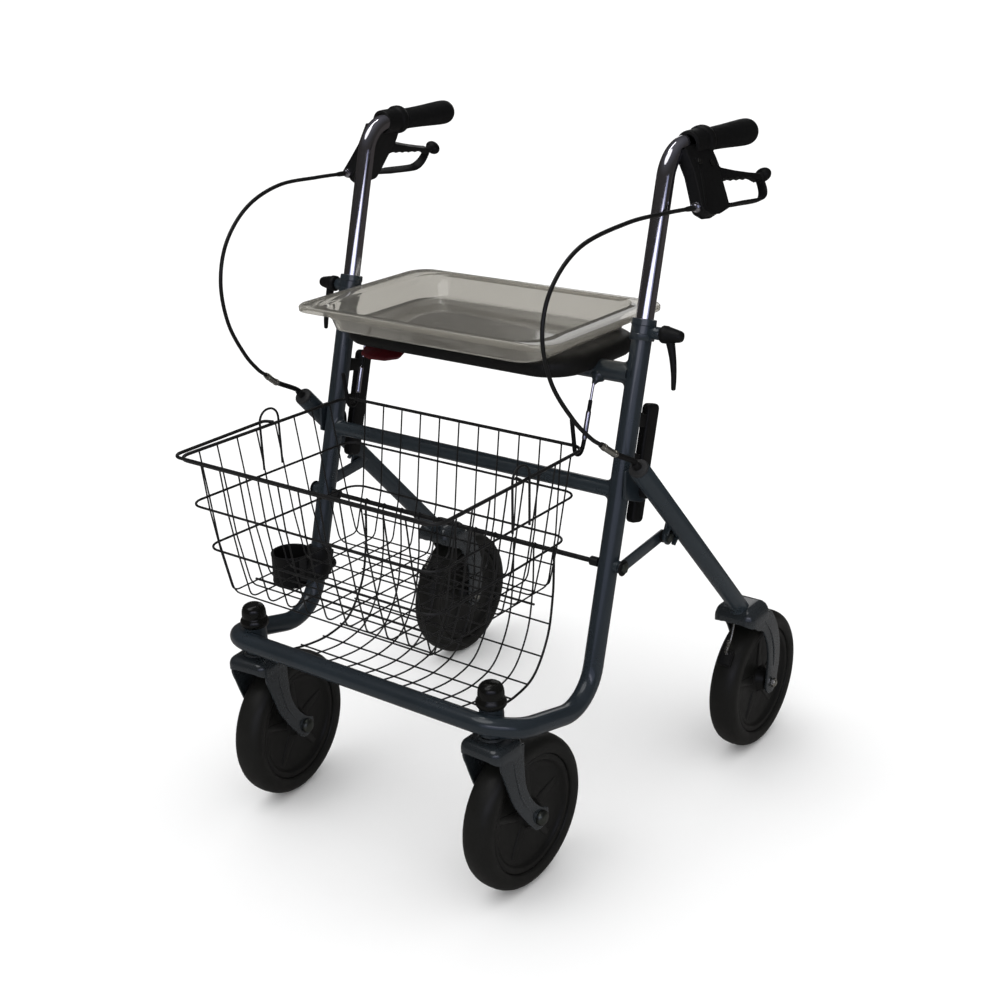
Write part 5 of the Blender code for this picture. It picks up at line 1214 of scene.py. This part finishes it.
# ================================================================ brake cables
START = adj - Y * 0.0090
ROUTE = [START, (0.2680, -0.0100, 0.8060), (0.2640, -0.0840, 0.8070), (0.2500, -0.1560, 0.7920),
         (0.2440, -0.2020, 0.7560), (0.2430, -0.2190, 0.7080), (0.2470, -0.2090, 0.6540),
         (0.2545, -0.1790, 0.6060), CABLE_END - CABLE_DIR * 0.020, CABLE_END + CABLE_DIR * 0.0005]
route = smooth(ROUTE, 97)
SPLIT = 26     # the run is split here into an upper and a lower piece, both baked in place and left unattached
for tag, s in SIDES:
    for part, pts, bodies, ends in (("upper", route[:SPLIT + 1], (f"handle_{tag}", "frame"), (route[0], route[SPLIT])),
                                    ("lower", route[SPLIT:], ("frame", f"leg_{tag}"), (route[SPLIT], route[-1]))):
        g = Geo()
        tube(g, pts, 0.0025, 12)
        if part == "upper":
            tube(g, [pts[0] - Y * 0.0, pts[1], pts[2], pts[3]], [0.0034, 0.0034, 0.0033, 0.0027], 12)
        obj = emit(g.side(s), f"brake_cable_{tag}_{part}_look", None, [f"brake_cable_{tag}"], [CABLE], ride=False)
        a, b = [Vector((s * p.x, p.y, p.z)) for p in ends]
        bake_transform(obj)

# ================================================================ floor and light
mesh = bpy.data.meshes.new("floor")
mesh.from_pydata([(-80, -80, 0), (80, -80, 0), (80, 80, 0), (-80, 80, 0)], [], [(0, 1, 2, 3)])
floor = bpy.data.objects.new("floor", mesh)
pale = bpy.data.materials.new("pale_floor")
pale.use_nodes = True
pb = pale.node_tree.nodes["Principled BSDF"]
pb.inputs["Base Color"].default_value = (0.93, 0.93, 0.93, 1)
pb.inputs["Roughness"].default_value = 0.9
pb.inputs["Specular IOR Level"].default_value = 0.1
# painted reflection: seen in a mirror, the pale floor ends some way in front of the rollator and a dark emission
# painted on the floor stands in for the dark room
pt = pale.node_tree
where = node(pt, "ShaderNodeNewGeometry")
shift = node(pt, "ShaderNodeVectorMath", operation="DISTANCE")
shift.inputs[1].default_value = (0.7, -1.2, 0.0)
far = node(pt, "ShaderNodeMapRange")
far.inputs["From Min"].default_value = 1.9
far.inputs["From Max"].default_value = 2.9
far.inputs["To Min"].default_value = 0.88
rays = node(pt, "ShaderNodeLightPath")
both = node(pt, "ShaderNodeMath", operation="MULTIPLY")
# dark emission: a painted reflection of the room, shown on the floor to glossy rays only
dark = node(pt, "ShaderNodeEmission", Color=(0.055, 0.050, 0.048, 1), Strength=1.0)
swap = node(pt, "ShaderNodeMixShader")
pt.links.new(where.outputs["Position"], shift.inputs[0])
pt.links.new(shift.outputs["Value"], far.inputs["Value"])
pt.links.new(far.outputs["Result"], both.inputs[0])
mirror = node(pt, "ShaderNodeMath", operation="SUBTRACT")
mirror.use_clamp = True
pt.links.new(rays.outputs["Is Glossy Ray"], mirror.inputs[0])
pt.links.new(rays.outputs["Is Transmission Ray"], mirror.inputs[1])
pt.links.new(mirror.outputs[0], both.inputs[1])
pt.links.new(both.outputs[0], swap.inputs["Fac"])
pt.links.new(pb.outputs[0], swap.inputs[1])
pt.links.new(dark.outputs[0], swap.inputs[2])
pt.links.new(swap.outputs[0], pt.nodes["Material Output"].inputs["Surface"])
mesh.materials.append(pale)
scene.collection.objects.link(floor)

world = bpy.data.worlds.new("studio")
scene.world = world
world.use_nodes = True
wt = world.node_tree
for n in list(wt.nodes):
    wt.nodes.remove(n)
out = node(wt, "ShaderNodeOutputWorld")
plain = node(wt, "ShaderNodeBackground", Color=(1, 1, 1, 1), Strength=1.08)
room = node(wt, "ShaderNodeBackground", Strength=1.0)
path = node(wt, "ShaderNodeLightPath")
blend = node(wt, "ShaderNodeMixShader")
co = node(wt, "ShaderNodeTexCoord")
sep = node(wt, "ShaderNodeSeparateXYZ")
ramp = node(wt, "ShaderNodeValToRGB")
ramp.color_ramp.elements[0].position = 0.0
ramp.color_ramp.elements[0].color = (0.030, 0.028, 0.026, 1)
ramp.color_ramp.elements[1].position = 1.0
ramp.color_ramp.elements[1].color = (0.12, 0.12, 0.13, 1)
e = ramp.color_ramp.elements.new(0.35)
e.color = (0.035, 0.033, 0.032, 1)
e = ramp.color_ramp.elements.new(0.75)
e.color = (0.07, 0.07, 0.078, 1)
wt.links.new(co.outputs["Generated"], sep.inputs[0])
wt.links.new(sep.outputs["Z"], ramp.inputs["Fac"])
wt.links.new(ramp.outputs["Color"], room.inputs["Color"])
seen = node(wt, "ShaderNodeMath", operation="SUBTRACT")
seen.use_clamp = True
wt.links.new(path.outputs["Is Glossy Ray"], seen.inputs[0])
wt.links.new(path.outputs["Is Transmission Ray"], seen.inputs[1])
wt.links.new(seen.outputs[0], blend.inputs["Fac"])
wt.links.new(plain.outputs[0], blend.inputs[1])
wt.links.new(room.outputs[0], blend.inputs[2])
wt.links.new(blend.outputs[0], out.inputs["Surface"])


def area(name, place, target, size, watts, diffuse=True):
    light = bpy.data.lights.new(name, "AREA")
    light.shape = "RECTANGLE"
    light.size, light.size_y = size
    light.energy = watts
    obj = bpy.data.objects.new(name, light)
    obj.location = place
    obj.rotation_euler = (Vector(target) - Vector(place)).to_track_quat("-Z", "Y").to_euler()
    scene.collection.objects.link(obj)
    obj.visible_camera = False
    obj.visible_diffuse = diffuse
    return obj


sun = bpy.data.lights.new("sun", "SUN")
sun.energy = 0.55
sun.angle = math.radians(40)
sun_obj = bpy.data.objects.new("sun", sun)
sun_obj.rotation_euler = (math.radians(24), math.radians(-10), 0)
scene.collection.objects.link(sun_obj)
flash = area("flash", (1.20, -1.58, 1.13), (0, 0, 0.70), (1.75, 0.34), 2.9, False)
flash.data.color = (0.90, 0.88, 1.0)
glow = area("glow", (1.32, -1.74, 0.90), (0, 0, 0.60), (3.2, 0.95), 4.6, False)
glow.data.color = (0.62, 0.68, 1.0)
area("top", (-0.5, 0.2, 2.6), (0, 0, 0.4), (1.0, 0.16), 3.0, False)
area("beyond", (-1.05, 2.60, 1.50), (0.05, 0, 0.66), (1.3, 1.0), 3.6, False)

scene.view_settings.view_transform = "Standard"
scene.view_settings.look = "None"
